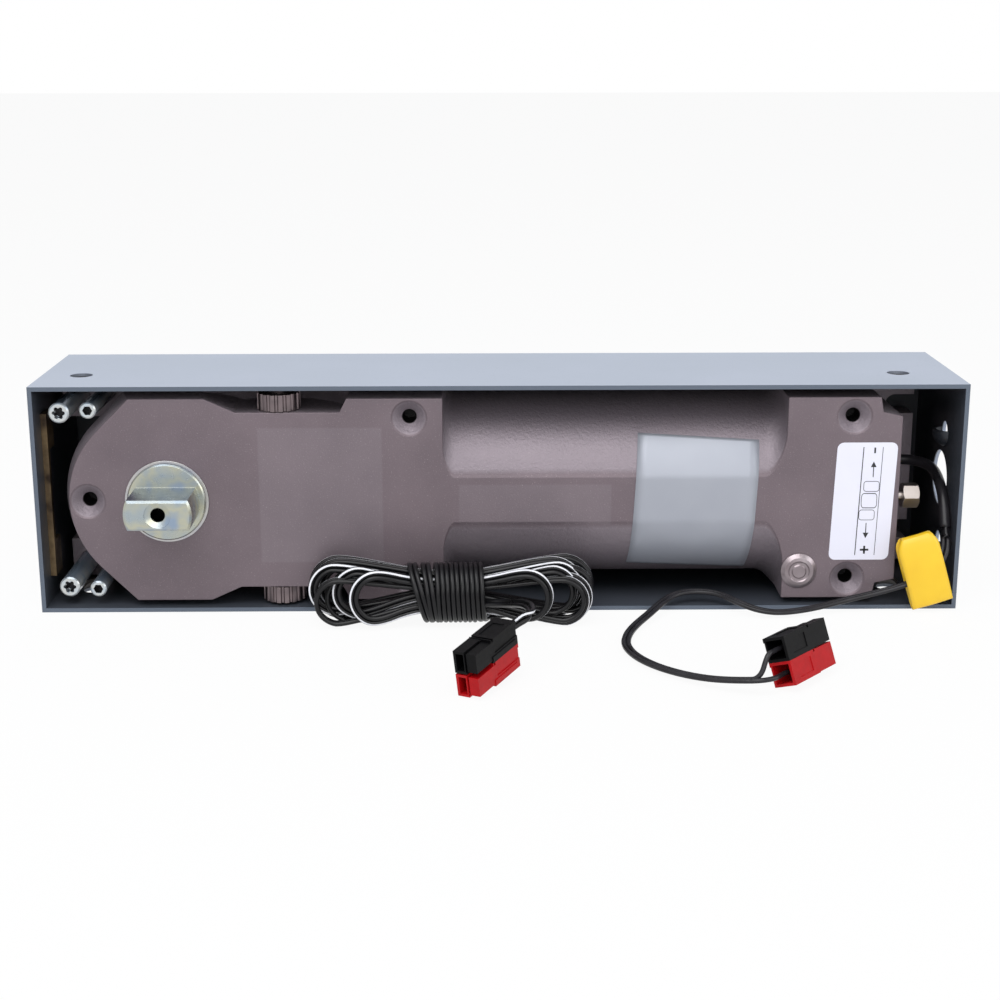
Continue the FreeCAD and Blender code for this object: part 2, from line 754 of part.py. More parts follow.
def bottom_cover():
    centre = Vector(spindle_x, cover_front_y, axis_z)
    cover = turned([(0, 0), (chamber_r - seated, 0), (chamber_r - seated, cover_thick - 1),
                    (chamber_r - seated - 1, cover_thick), (0, cover_thick)], centre, ALONG_Y)
    pocket = thrust_r + seated
    cover = cover.cut(rod_y(spindle_x, axis_z, pocket, cover_front_y - 1, cover_front_y + thrust_pocket_depth))
    cover = cover.cut(rod_y(spindle_x, axis_z, foot_journal_r + running, cover_front_y,
                            cover_front_y + thrust_pocket_depth + foot_journal_end + 0.3))
    for i in range(4):
        a = math.radians(45 + 90 * i)
        cover = cover.cut(rod_y(spindle_x + cover_pin_offset * math.cos(a), axis_z + cover_pin_offset * math.sin(a),
                                cover_pin_r, back_y - 4, back_y + 1))
    groove_y = cover_front_y + 2.5
    groove = rod_y(spindle_x, axis_z, chamber_r + 1, groove_y, groove_y + 2.6)
    return cover.cut(groove.cut(rod_y(spindle_x, axis_z, chamber_r - 2.2, groove_y - 1, groove_y + 4)))


def ring_seal(mean_r, centre, axis):
    """A rubber ring seal, eight-sided in section."""
    angles = [math.pi * (i + 0.5) / 4 for i in range(8)]
    return turned([(mean_r + ring_seal_r * math.cos(a), ring_seal_r * math.sin(a)) for a in angles], centre, axis)


def cover_seal():
    return ring_seal(chamber_r - 1.13, Vector(spindle_x, cover_front_y + 3.8, axis_z), ALONG_Y)


def thrust_cage():
    """Cage ring and its rollers."""
    mid_y = thrust_top_y + thrust_washer + thrust_gap + thrust_roller_r
    pitch_r = (foot_journal_r + thrust_r) / 2
    ring = bearing_ring(foot_journal_r + 0.4, thrust_r - 0.4, mid_y - 0.5, mid_y + 0.5)
    rollers = []
    for i in range(thrust_rollers):
        a = 2 * math.pi * i / thrust_rollers
        out = Vector(math.cos(a), 0, math.sin(a))
        near = Vector(spindle_x, mid_y, axis_z) + out * (pitch_r - thrust_roller_length / 2)
        ring = ring.cut(Part.makeCylinder(thrust_roller_r + seated, thrust_roller_length + 2 * seated,
                                          near - out * seated, out))
        rollers.append(Part.makeCylinder(thrust_roller_r, thrust_roller_length, near, out))
    return Part.makeCompound([ring] + rollers)


def end_plug():
    """Threaded plug in the bore's right end, with a spigot, two spanner holes and the lead's way out."""
    plug = turned([(0, 0), (bore_r - 0.1, 0), (bore_r - 0.1, -5), (bore_r - 2.4, -5), (bore_r - 2.4, -7.6),
                   (bore_r - 0.1, -7.6), (bore_r - 0.1, -spigot_length),
                   (0, -spigot_length)], Vector(bore_end_x, bore_y, axis_z), ALONG_X)
    plug = plug.fuse(rod_x(bore_y, axis_z, plug_r - seated, bore_end_x, block_end_x)).removeSplitter()
    for s in (-1, 1):
        plug = plug.cut(rod_x(bore_y, axis_z + s * 15, 2.5, block_end_x - 6, block_end_x + 1))
    return plug.cut(rod_x(gland_y, axis_z + gland_rise, sleeve_r + seated, block_end_x - 8, block_end_x + 1))


def plug_seal():
    return ring_seal(bore_r - 1.35, Vector(bore_end_x - 6.3, bore_y, axis_z), ALONG_X)


def valve_carrier():
    """Fixed disc with the hold-open port that the armature's needle shuts."""
    return turned([(valve_port_r, 0), (bore_r - 0.1, 0), (bore_r - 0.1, carrier_length), (4.5, carrier_length),
                   (valve_port_r, carrier_length - 1.5)], Vector(carrier_x, bore_y, axis_z), ALONG_X)


def coil_bobbin():
    """Bobbin with two flanges."""
    end = coil_length
    return turned([(coil_bore_r, 0), (coil_r, 0), (coil_r, bobbin_flange), (coil_bore_r + 1, bobbin_flange),
                   (coil_bore_r + 1, end - bobbin_flange), (coil_r, end - bobbin_flange), (coil_r, end),
                   (coil_bore_r, end)], Vector(coil_x, bore_y, axis_z), ALONG_X)


def coil_winding():
    """Enamelled copper wound between the flanges."""
    return turned([(coil_bore_r + 1, bobbin_flange), (coil_r - 0.8, bobbin_flange),
                   (coil_r - 0.8, coil_length - bobbin_flange), (coil_bore_r + 1, coil_length - bobbin_flange)],
                  Vector(coil_x, bore_y, axis_z), ALONG_X)


def coil_can():
    """Steel can round the winding, which closes the magnet's circuit; it stands on the end plug."""
    end = bore_end_x - spigot_length - coil_x
    return turned([(coil_r + 0.1, 0), (bore_r - 0.6, 0), (bore_r - 0.6, end), (coil_r + 0.1, end)],
                  Vector(coil_x, bore_y, axis_z), ALONG_X)


def pole_core():
    """Fixed core; the plug carries it."""
    front = armature_x + armature_length + armature_travel + 0.3
    return rod_x(bore_y, axis_z, core_r, front, bore_end_x - spigot_length)


def armature():
    """Sliding core with the needle on its left end."""
    return turned([(0, -needle_length), (0.6, -needle_length), (needle_r, -needle_length + 2), (needle_r, 0),
                   (armature_r, 0), (armature_r, armature_length), (0, armature_length)],
                  Vector(armature_x, bore_y, axis_z), ALONG_X)


def speed_valve():
    """Hex-headed needle screw in the end of the oil duct."""
    centre = Vector(block_end_x, duct_y, axis_z)
    neck_end = valve_neck_length
    stem = turned([(0, neck_end + 1), (valve_neck_r, neck_end + 1), (valve_neck_r, 0), (valve_shank_r, 0),
                   (valve_shank_r, -valve_shank_length + valve_needle_length),
                   (duct_r - 0.4, -valve_shank_length + valve_needle_length - 1),
                   (0.5, -valve_shank_length), (0, -valve_shank_length)], centre, ALONG_X)
    head = hexagon(valve_hex_flats, valve_hex_length)
    head.rotate(Vector(), ALONG_Z, 90)
    bevel = turned([(0, 0), (valve_hex_flats * 0.5, 0), (valve_hex_flats * 0.6, 0.6),
                    (valve_hex_flats * 0.6, valve_hex_length - 0.6), (valve_hex_flats * 0.5, valve_hex_length),
                    (0, valve_hex_length)], Vector(), ALONG_Z)
    head = placed(head.common(bevel), centre + Vector(neck_end, 0, 0), ALONG_X)
    return stem.fuse(head).removeSplitter()


def side_regulator(s):
    """Toothed thumb wheel on a needle screw; s is +1 at the top side and -1 at the lower side."""
    wheel = Part.makeCylinder(regulator_head_r, regulator_head_h)
    tooth_gap = math.pi * regulator_head_r / regulator_teeth * 0.46
    for i in range(regulator_teeth):
        a = 2 * math.pi * i / regulator_teeth
        wheel = wheel.cut(Part.makeCylinder(tooth_gap, regulator_head_h, Vector(
            regulator_head_r * math.cos(a), regulator_head_r * math.sin(a), 0)))
    wheel = wheel.cut(Part.makeCylinder(regulator_head_r - 2.6, 2.0, Vector(0, 0, regulator_head_h - 2)))
    wheel.translate(Vector(0, 0, apart))
    stem = turned([(0, apart + 1), (regulator_shank_r, apart + 1), (regulator_shank_r, -regulator_depth + 5),
                   (duct_r - 0.3, -regulator_depth + 3), (0, -regulator_depth + 1)], Vector(), ALONG_Z)
    whole = wheel.fuse(stem).removeSplitter()
    return placed(whole, Vector(regulator_x, regulator_y, axis_z + s * pocket_floor), Vector(0, 0, s))


def filler_plug():
    """Round-headed oil filler plug with a ring round its middle."""
    centre = Vector(filler_x, face_y, axis_z - filler_offset)
    return turned([(0, -filler_head_h), (2.2, -filler_head_h), (2.6, -filler_head_h + 0.4),
                   (3.4, -filler_head_h + 0.4), (3.8, -filler_head_h), (5.0, -filler_head_h + 0.2),
                   (filler_head_r, -0.4), (filler_head_r, 0), (filler_shank_r, 0), (filler_shank_r, filler_depth),
                   (0, filler_depth)], centre, ALONG_Y)


def corner_screw(x, z, r, recess):
    """Long levelling or fixing screw that stands on the bottom of the box."""
    edge = 0.5
    form = turned([(0, screw_front_y), (r - edge, screw_front_y), (r, screw_front_y + edge), (r, floor_y - edge),
                   (r - edge, floor_y), (0, floor_y)], Vector(x, 0, z), ALONG_Y)
    return form.cut(placed(recess, Vector(x, screw_front_y, z), ALONG_Y))


def cable_gland():
    """Moulded grommet where the lead leaves the end plug."""
    centre = Vector(block_end_x, gland_y, axis_z + gland_rise)
    return turned([(sleeve_r + seated, 0), (gland_r, 0), (gland_r, 1.2), (gland_r - 1.2, gland_length),
                   (sleeve_r + seated, gland_length)], centre, ALONG_X)


def cord_tube(name, route, r):
    """A tube along straight runs joined by tangent arcs; prints its radii and checks its volume."""
    runs = [(b - a).Length for a, b in zip(route, route[1:])]
    edges, here, radii, length = [], route[0], [], 0
    for i in range(1, len(route) - 1):
        into = (route[i] - route[i - 1]).normalize()
        out = (route[i + 1] - route[i]).normalize()
        turn = into.getAngle(out)
        back = 0.45 * min(runs[i - 1], runs[i])
        radius = back / math.tan(turn / 2)
        a, b = route[i] - into * back, route[i] + out * back
        middle = (a + b) * 0.5
        bulge = radius / math.cos(turn / 2) - radius
        crown = route[i] + (middle - route[i]).normalize() * bulge
        edges += [Part.LineSegment(here, a).toShape(), Part.Arc(a, crown, b).toShape()]
        length += (a - here).Length + radius * turn
        here = b
        radii.append(round(radius, 1))
    edges.append(Part.LineSegment(here, route[-1]).toShape())
    length += (route[-1] - here).Length
    path = Part.Wire(edges)
    section = Part.Wire(Part.makeCircle(r, route[0], route[1] - route[0]))
    tube = path.makePipeShell([section], True, False)
    share = tube.Volume / (math.pi * r * r * length)
    print(f"{name}: length {length:.1f} mm, volume share {share:.4f}, least radius {min(radii)}, radii {radii}")
    return tube


def housing():
    """One connector housing along X: mouth and tongue in front, wire entry behind."""
    side, front, wall = housing_side, housing_front, housing_wall
    rear = block(front, housing_length, 0, side, 0, side)
    rear = rear.cut(block(housing_length - entry_depth, housing_length + 1, wall, side - wall, wall, side - wall))
    mouth = block(0, front, side / 2, side, 0.3, side - 0.3)
    mouth = mouth.cut(block(-1, front - 1, side / 2 - 1, side - wall, wall + 0.3, side - wall - 0.3))
    tongue = block(0.5, front, 0, side / 2 - housing_slot, 1.0, side - 1.0)
    ridge = block(front + 1.5, housing_length - 4, -0.0, side + 0.35, side - 1.6, side - 0.6)
    return join([rear, mouth, tongue, ridge])


def hank():
    """Outer shape of the folded and wrapped lead, lying on its long side."""
    r = hank_height / 2
    straight = hank_length / 2 - r
    form = join([block(-straight, straight, -hank_thick / 2, hank_thick / 2, 0, hank_height),
                 rod_y(-straight, r, r, -hank_thick / 2, hank_thick / 2),
                 rod_y(straight, r, r, -hank_thick / 2, hank_thick / 2)])
    form = form.makeFillet(hank_round, [e for e in form.Edges
                                        if abs(abs(e.CenterOfMass.y) - hank_thick / 2) < 0.01])
    form.translate(Vector(hank_x, open_y - hank_front, 0))
    return form


def lead_flag():
    """Folded flag, a flat loop of film round the lead."""
    def loop(r, straight, width):
        half = straight / 2
        ends = [Part.makeCylinder(r, width, Vector(-width / 2, 0, s * half), ALONG_X) for s in (-1, 1)]
        return join([block(-width / 2, width / 2, -r, r, -half, half)] + ends)

    straight = flag_length - flag_thick
    flag = loop(flag_thick / 2, straight, flag_width).cut(loop(flag_thick / 2 - flag_sheet, straight, flag_width + 2))
    flag.rotate(Vector(), ALONG_Y, -flag_tilt)
    flag.translate(Vector(half_length - flag_inset, open_y - flag_front, flag_z))
    return flag


def pair_frame(corner, azimuth, pitch, roll):
    """Where a stacked pair lies: the corner of its mating end, then its turn, rise and lean."""
    spin = FreeCAD.Rotation(ALONG_Z, azimuth).multiply(FreeCAD.Rotation(ALONG_Y, -pitch))
    spin = spin.multiply(FreeCAD.Rotation(ALONG_X, roll))
    return FreeCAD.Placement(corner, spin)


def stacked(place, level):
    """One housing of a pair; level 0 lies below, level 1 on top."""
    shape = housing()
    shape.translate(Vector(0, 0, level * housing_side))
    shape.Placement = place.multiply(shape.Placement)
    return shape


save("cement_box", cement_box())
save("end_bracket", end_bracket())
save("closer_body", closer_body())
save("spindle", spindle())
save("shaft_seal", shaft_seal())
save("upper_bearing", bearing_ring(bearing_seat_r + running, bearing_r, bearing_front_y, chamber_front_y - apart))
save("thrust_washer_upper", bearing_ring(foot_journal_r + running, thrust_r - 0.3, thrust_top_y,
                                         thrust_top_y + thrust_washer))
save("thrust_cage", thrust_cage())
lower_washer_y = thrust_top_y + thrust_washer + 2 * (thrust_gap + thrust_roller_r)
save("thrust_washer_lower", bearing_ring(foot_journal_r + running, thrust_r, lower_washer_y, cover_front_y + thrust_pocket_depth))
save("bottom_cover", bottom_cover())
save("cover_seal", cover_seal())
save("yoke_plates", Part.makeCompound([yoke_plate(front_plate_y), yoke_plate(back_plate_y)]))
save("yoke_head", yoke_head())
save("cam_roller", rod_y(rest_pin_x, axis_z, roller_r, cam_front_y + 0.1, cam_back_y - 0.1).cut(
    rod_y(rest_pin_x, axis_z, pin_r + running, cam_front_y - 1, cam_back_y + 1)))
save("roller_pin", rod_y(rest_pin_x, axis_z, pin_r, front_plate_y, back_plate_y + plate_thick))
save("pull_rod", pull_rod())
save("piston", piston())
save("piston_seal", piston_seal())
save("check_ball", check_ball())
save("check_bush", check_bush())
save("rod_nut", rod_nut())
save("mainspring", mainspring())
save("spring_seat", spring_seat())
save("snap_ring", snap_ring())
save("end_plug", end_plug())
save("plug_seal", plug_seal())
save("valve_carrier", valve_carrier())
save("coil_bobbin", coil_bobbin())
save("coil_winding", coil_winding())
save("coil_can", coil_can())
save("pole_core", pole_core())
save("armature", armature())
save("speed_valve", speed_valve())
save("side_regulator_top", side_regulator(1))
save("side_regulator_low", side_regulator(-1))
save("filler_plug", filler_plug())
save("clamp_screws", Part.makeCompound([
    corner_screw(clamp_screw_x, axis_z + s * clamp_screw_offset, clamp_screw_r,
                 star_recess(clamp_socket_r, socket_depth)) for s in (-1, 1)]))
for name, s in (("level_screw_top", 1), ("level_screw_low", -1)):
    save(name, corner_screw(level_screw_x, axis_z + s * level_screw_offset, level_screw_r,
                            hexagon(level_socket_flats, socket_depth)))
save("cable_gland", cable_gland())

# Connector pairs on the floor in front of the box
def by_end(x, y, z):
    """A place given from the lower right corner of the box's mouth."""
    return Vector(half_length + x, open_y + y, z)


def by_hank(x, y, z):
    """A place given from the middle of the hank, down on the floor."""
    return Vector(hank_x + x, open_y - hank_front + y, z)


lead_pair = pair_frame(by_end(*lead_pair_place), lead_pair_turn, 0.0, lead_pair_lean)
tail_pair = pair_frame(by_hank(*tail_pair_place), tail_pair_turn, tail_pair_rise, tail_pair_lean)
save("lead_plug_red", stacked(lead_pair, 0))
save("lead_plug_black", stacked(lead_pair, 1))
save("supply_plug_red", stacked(tail_pair, 0))
save("supply_plug_black", stacked(tail_pair, 1))


def entry_point(place, level, out):
    """A point on the axis of a housing's wire entry, so far out of its mouth."""
    half = housing_side / 2
    return place.multVec(Vector(housing_length + out, half, half + level * housing_side))


# The closer's lead: out of the gland in its sleeve, down the end wall, over the rim and along the floor
gland_mouth = Vector(block_end_x + gland_length, gland_y, axis_z + gland_rise)
sleeve_end = by_end(-4.1, 5.4, 28.2)
sleeve_route = [gland_mouth, by_end(-13.4, 36, 46.2), by_end(-7.3, 32.6, 46), by_end(-4.2, 26.8, 45.1),
                by_end(-3.9, 19, 42.9), by_end(-3.8, 12.6, 38.7), by_end(-3.9, 8.4, 33.4), sleeve_end]
along_sleeve = (sleeve_end - sleeve_route[-2]).normalize()
lead_route = [sleeve_end, sleeve_end + along_sleeve * 7.0, by_end(-7, -1.6, 16.8), by_end(-12.8, -2.7, 12.4),
              by_end(-20.6, -2.6, 9.2), by_end(-30, -2.6, 6.6), by_end(-40.5, -3.4, 4.4),
              by_end(-52, -6, 2.2), by_end(-64, -9.6, 1.8), by_end(-72, -9.2, 2.7),
              by_end(-79, -4.2, 4.4), by_end(-84.1, 2.1, 5.4), by_end(-91.8, 4.5, 5.6),
              by_end(-99.5, 2.3, 5.4), by_end(-104.7, -3.8, 4.4), by_end(-110.4, -12.4, 2.6),
              by_end(-115.7, -21.4, 1.8), by_end(-119.4, -31.6, 1.8), by_end(-121, -42.4, 1.8),
              by_end(-118.4, -53.6, 1.8), by_end(-111.8, -64, 1.8), by_end(-102.4, -73, 2.2),
              by_end(-92.6, -80.4, 3.6), by_end(-84.8, -83.9, 5),
              entry_point(lead_pair, 0, 3.0), entry_point(lead_pair, 0, -entry_depth)]
save("lead_sleeve", cord_tube("lead_sleeve", sleeve_route, sleeve_r))
lead_form = cord_tube("closer_lead", lead_route, lead_r)
save("closer_lead", lead_form)
save("lead_flag", lead_flag().cut(lead_form))

# The separate supply lead: a wrapped hank, with a short tail to its own connector pair
tail_route = [entry_point(tail_pair, 1, -entry_depth), entry_point(tail_pair, 1, 6.0), by_hank(26.4, -36.2, 19.6),
              by_hank(25.4, -25.7, 17), by_hank(18.4, -16.8, 13.6), by_hank(9, -9.7, 11.4),
              by_hank(0, -2.7, 11)]
hank_form = hank()
save("supply_hank", hank_form)
save("supply_tail", cord_tube("supply_tail", tail_route, tail_r).cut(hank_form))
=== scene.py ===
import math
import random

import bmesh
import bpy
from mathutils import Matrix, Vector


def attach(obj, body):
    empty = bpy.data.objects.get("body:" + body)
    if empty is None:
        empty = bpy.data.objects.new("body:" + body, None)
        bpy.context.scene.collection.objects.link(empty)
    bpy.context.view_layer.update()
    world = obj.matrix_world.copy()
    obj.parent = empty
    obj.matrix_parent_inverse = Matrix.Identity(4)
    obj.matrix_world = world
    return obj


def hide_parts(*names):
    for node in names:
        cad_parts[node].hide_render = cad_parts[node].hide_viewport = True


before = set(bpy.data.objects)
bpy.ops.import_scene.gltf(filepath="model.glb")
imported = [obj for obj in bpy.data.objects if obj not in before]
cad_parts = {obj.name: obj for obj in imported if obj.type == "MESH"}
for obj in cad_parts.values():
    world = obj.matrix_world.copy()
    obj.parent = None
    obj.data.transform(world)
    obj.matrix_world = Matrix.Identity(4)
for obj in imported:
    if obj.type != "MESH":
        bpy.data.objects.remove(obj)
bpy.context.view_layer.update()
mm = 0.001


# Camera
# A normal lens a little above the open box, looking slightly down into it, set so that
# the box's edges fall where they do in the photograph.
lens_pixels, picture_pixels, sensor_mm = 1747.668, 1000, 36
yaw, pitch, roll = 0.0104106, 0.2586665, -0.0011205
stand = Vector((-6.1233, -622.4173, 196.4950)) * mm
forward = Vector((math.sin(yaw) * math.cos(pitch), math.cos(yaw) * math.cos(pitch), -math.sin(pitch)))
level = Vector((math.cos(yaw), -math.sin(yaw), 0))
upright = level.cross(forward)
across = level * math.cos(roll) + upright * math.sin(roll)
upright = upright * math.cos(roll) - level * math.sin(roll)
camera_data = bpy.data.cameras.new("camera")
camera_data.sensor_width = sensor_mm
camera_data.lens = sensor_mm * lens_pixels / picture_pixels
camera_data.clip_start, camera_data.clip_end = 0.01, 20
camera = bpy.data.objects.new("camera", camera_data)
camera.matrix_world = Matrix.Translation(stand) @ Matrix((across, upright, -forward)).transposed().to_4x4()
bpy.context.scene.collection.objects.link(camera)
bpy.context.scene.camera = camera


# Cord finishes
# Soft black PVC insulation, a little glossy, with a white tracer printed along one core
# of the supply lead. The two classes here build this and every later finish from nodes.
class Flow:
    """A value between two nodes; arithmetic on it adds Math nodes."""

    def __init__(self, tree, socket):
        self.tree, self.socket = tree, socket

    def math(self, operation, *others):
        made = self.tree.nodes.new("ShaderNodeMath")
        made.operation = operation
        for socket, value in zip(made.inputs, (self, *others)):
            if isinstance(value, Flow):
                self.tree.links.new(value.socket, socket)
            else:
                socket.default_value = value
        return Flow(self.tree, made.outputs[0])

    def __add__(self, other):
        return self.math("ADD", other)

    def __sub__(self, other):
        return self.math("SUBTRACT", other)

    def __mul__(self, other):
        return self.math("MULTIPLY", other)

    def __truediv__(self, other):
        return self.math("DIVIDE", other)

    def __pow__(self, other):
        return self.math("POWER", other)

    def __rsub__(self, other):
        return self * -1.0 + other

    __radd__, __rmul__ = __add__, __mul__

    def within(self, low, high):
        """Rises from 0 to 1 between two values."""
        return ((self - low) / (high - low)).math("MAXIMUM", 0).math("MINIMUM", 1)


class Finish:
    """A procedural material on a Principled shader."""

    def __init__(self, name, **fixed):
        self.material = bpy.data.materials.new(name)
        self.material.use_nodes = True
        self.tree = self.material.node_tree
        self.shader = self.tree.nodes["Principled BSDF"]
        for key, value in fixed.items():
            self.shader.inputs[key.replace("_", " ")].default_value = value
        self.place = self.node("TexCoord", {}, "Object")
        self.x, self.y, self.z = (self.node("SeparateXYZ", {0: self.place}, k) for k in range(3))

    def node(self, kind, sockets, output=0, **settings):
        made = self.tree.nodes.new("ShaderNode" + kind)
        for key, value in settings.items():
            setattr(made, key, value)
        for key, value in sockets.items():
            if isinstance(value, Flow):
                self.tree.links.new(value.socket, made.inputs[key])
            else:
                made.inputs[key].default_value = value
        return Flow(self.tree, made.outputs[output])

    def set(self, key, value):
        """Feeds one of the shader's inputs."""
        self.tree.links.new(value.socket, self.shader.inputs[key])

    def grain(self, size, detail=2.0, rough=0.5, place=None):
        """Noise whose features are about size metres across."""
        return self.node("TexNoise", {"Vector": place or self.place, "Scale": 1 / size, "Detail": detail,
                                      "Roughness": rough})

    def mix(self, share, first, second):
        """Goes from the first colour at 0 to the second at 1."""
        return self.node("Mix", {0: share, 6: first, 7: second}, 2, data_type="RGBA")

    def away(self, x, z):
        """Distance in millimetres from a line along Y."""
        return ((self.x / mm - x) ** 2 + (self.z / mm - z) ** 2) ** 0.5

    def patch(self, left, right, low, high, soft=0.5):
        """1 inside a rectangle in the XZ plane, in millimetres, with soft edges."""
        x, z = self.x / mm, self.z / mm
        return (x.within(left - soft, left + soft) * (1 - x.within(right - soft, right + soft))
                * z.within(low - soft, low + soft) * (1 - z.within(high - soft, high + soft)))

    def bump(self, height, depth, strength=1.0, edge=0.0):
        """Raises the surface by height, and rounds its edges by edge."""
        sockets = {"Height": height, "Distance": depth, "Strength": strength}
        if edge:
            sockets["Normal"] = self.node("Bevel", {"Radius": edge}, samples=6)
        self.set("Normal", self.node("Bump", sockets))


def tone(red, green, blue):
    """A colour read from a picture, as the linear colour that a shader takes."""
    return tuple((c / 255 / 12.92 if c <= 10 else ((c / 255 + 0.055) / 1.055) ** 2.4)
                 for c in (red, green, blue)) + (1.0,)


def pvc(name, colour, lighter, rough):
    finish = Finish(name, Roughness=rough, Specular_IOR_Level=0.3)
    dust = finish.grain(6 * mm, 4)
    finish.set("Base Color", finish.mix(dust.within(0.35, 0.75), colour, lighter))
    finish.set("Roughness", dust * 0.18 + (rough - 0.08))
    finish.bump(finish.grain(0.5 * mm, 2), 0.05 * mm, 0.35)
    return finish.material


lead_black = pvc("lead_black", tone(12, 12, 14), tone(22, 22, 25), 0.3)
lead_grey = pvc("lead_grey", tone(28, 27, 30), tone(42, 41, 45), 0.34)
tracer_white = pvc("tracer_white", tone(224, 226, 232), tone(240, 240, 244), 0.4)
sleeve_black = pvc("sleeve_black", tone(26, 25, 28), tone(40, 38, 42), 0.3)


# Lead of the closer
# Two thin insulated wires side by side. They leave the gland in a sleeve, drop down the
# end wall, pass through the flag, cross the rim twice and end in the right-hand connectors.
def route_line(points, steps=8):
    """The points of a smooth spline through a route, the same ones each run."""
    curve = bpy.data.curves.new("route", "CURVE")
    curve.dimensions = "3D"
    spline = curve.splines.new("NURBS")
    spline.points.add(len(points) - 1)
    for point, place in zip(spline.points, points):
        point.co = (*place, 1)
    spline.order_u = 3
    spline.use_endpoint_u = True
    spline.resolution_u = steps
    holder = bpy.data.objects.new("route", curve)
    mesh = bpy.data.meshes.new_from_object(holder)
    line = [v.co.copy() for v in mesh.vertices]
    bpy.data.objects.remove(holder)
    bpy.data.curves.remove(curve)
    bpy.data.meshes.remove(mesh)
    return line


def piece(name, bm, body, slot, *materials):
    """Makes a finished mesh an object that rides on a body."""
    mesh = bpy.data.meshes.new(name)
    bmesh.ops.recalc_face_normals(bm, faces=bm.faces)
    bm.to_mesh(mesh)
    bm.free()
    for material in materials:
        mesh.materials.append(material)
    made = bpy.data.objects.new(name, mesh)
    bpy.context.scene.collection.objects.link(made)
    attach(made, body)
    return made


def tube(bm, line, radius, sides=12, across=None, offset=0.0, stripe=()):
    """Adds a closed round tube along a line; offset shifts it sideways and stripe recolours some of its faces."""
    rings, last = [], None
    for i, point in enumerate(line):
        along = (line[min(i + 1, len(line) - 1)] - line[max(i - 1, 0)]).normalized()
        hint = across[i] if across else (last or Vector((0, 0, 1)).cross(along))
        side = (hint - along * hint.dot(along)).normalized()
        last = side
        lift = along.cross(side)
        middle = point + side * offset
        rings.append([bm.verts.new(middle + (side * math.cos(a) + lift * math.sin(a)) * radius)
                      for a in (2 * math.pi * k / sides for k in range(sides))])
    for lower, upper in zip(rings, rings[1:]):
        for k in range(sides):
            face = bm.faces.new((lower[k], lower[(k + 1) % sides], upper[(k + 1) % sides], upper[k]))
            face.smooth = True
            face.material_index = 1 if k in stripe else 0
    bm.faces.new(rings[0][::-1])
    bm.faces.new(rings[-1])


def spot(x, y, z):
    return Vector((x, y, z)) * mm


def pair_place(corner, azimuth, rise, lean):
    """Where a pair of connectors lies: the corner of its mating end, then its turn, rise and lean."""
    return (Matrix.Translation(corner) @ Matrix.Rotation(math.radians(azimuth), 4, "Z")
            @ Matrix.Rotation(math.radians(-rise), 4, "Y") @ Matrix.Rotation(math.radians(lean), 4, "X"))


housing_length, housing_side = 24.6, 7.9
lead_pair = pair_place(spot(101.0, -92.8, 0.3), 229.4, 0.0, 20.0)
supply_pair = pair_place(spot(-7.1, -121.2, 0.5), 58.1, 8.4, -2.0)


def entry(pair, floor_no, out):
    """A point on the axis of a housing's wire entry, that far out of it."""
    side = housing_side * mm
    return pair @ Vector((housing_length * mm + out, side / 2, side * (floor_no + 0.5)))


gland_mouth = spot(142.3, 3.0, 46.0)
sleeve_route = [gland_mouth, spot(148.6, 3.0, 46.2), spot(154.7, -0.4, 46.0), spot(157.8, -6.2, 45.1),
                spot(158.1, -14.0, 42.9), spot(158.2, -20.4, 38.7), spot(158.1, -24.6, 33.4),
                spot(157.9, -27.6, 28.2)]
lead_route = sleeve_route + [
    spot(157.7, -31.1, 22.1), spot(155.0, -34.6, 16.8), spot(149.2, -35.7, 12.4), spot(141.4, -35.6, 9.2),
    spot(132.0, -35.6, 6.6), spot(121.5, -36.4, 4.4), spot(110.0, -39.0, 2.2), spot(98.0, -42.6, 1.8),
    spot(90.0, -42.2, 2.7), spot(83.0, -37.2, 4.4), spot(77.9, -30.9, 5.4), spot(70.2, -28.5, 5.6),
    spot(62.5, -30.7, 5.4), spot(57.3, -36.8, 4.4), spot(51.6, -45.4, 2.6), spot(46.3, -54.4, 1.8),
    spot(42.6, -64.6, 1.8), spot(41.0, -75.4, 1.8), spot(43.6, -86.6, 1.8), spot(50.2, -97.0, 1.8),
    spot(59.6, -106.0, 2.2), spot(69.4, -113.4, 3.6), spot(77.2, -116.9, 5.0)]
lead_line = route_line(lead_route)
wire_r = 0.82 * mm
# the two wires lie side by side, level with the floor
lead_sides = [Vector((0, 0, 1)).cross((b - a).normalized()) for a, b in zip(lead_line, lead_line[1:])]
lead_sides = [s if s.length > 0.5 else Vector((0, 1, 0)) for s in lead_sides + lead_sides[-1:]]
bm = bmesh.new()
for sign in (-1, 1):
    tube(bm, lead_line, wire_r, 12, lead_sides, sign * wire_r)
lead = piece("closer_lead_wires", bm, "closer", "black_rubber", lead_grey)
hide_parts("closer_lead")

sleeve_r = 1.9 * mm
sleeve_line = route_line(sleeve_route)
bm = bmesh.new()
tube(bm, sleeve_line, sleeve_r, 20)
sleeve = piece("lead_sleeve_tube", bm, "closer", "black_plastic", sleeve_black)
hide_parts("lead_sleeve")


# Wire ends
# Past the point where the two wires part, each runs on alone into its own housing.
part_at, part_side = lead_line[-1], lead_sides[-1].normalized()
run = (lead_line[-1] - lead_line[-3]).normalized()
for name, floor_no, sign in (("lead_end_red", 0, -1), ("lead_end_black", 1, 1)):
    start = part_at + part_side * sign * wire_r
    target = entry(lead_pair, floor_no, 0.0)
    inward = (entry(lead_pair, floor_no, -8 * mm) - target).normalized()
    line = route_line([start - run * 1.0 * mm, start + run * 2.0 * mm, target - inward * 5.0 * mm,
                       target - inward * 1.5 * mm, target + inward * 8.5 * mm])
    bm = bmesh.new()
    tube(bm, line, wire_r, 12)
    piece(name, bm, "closer", "black_rubber", lead_grey)


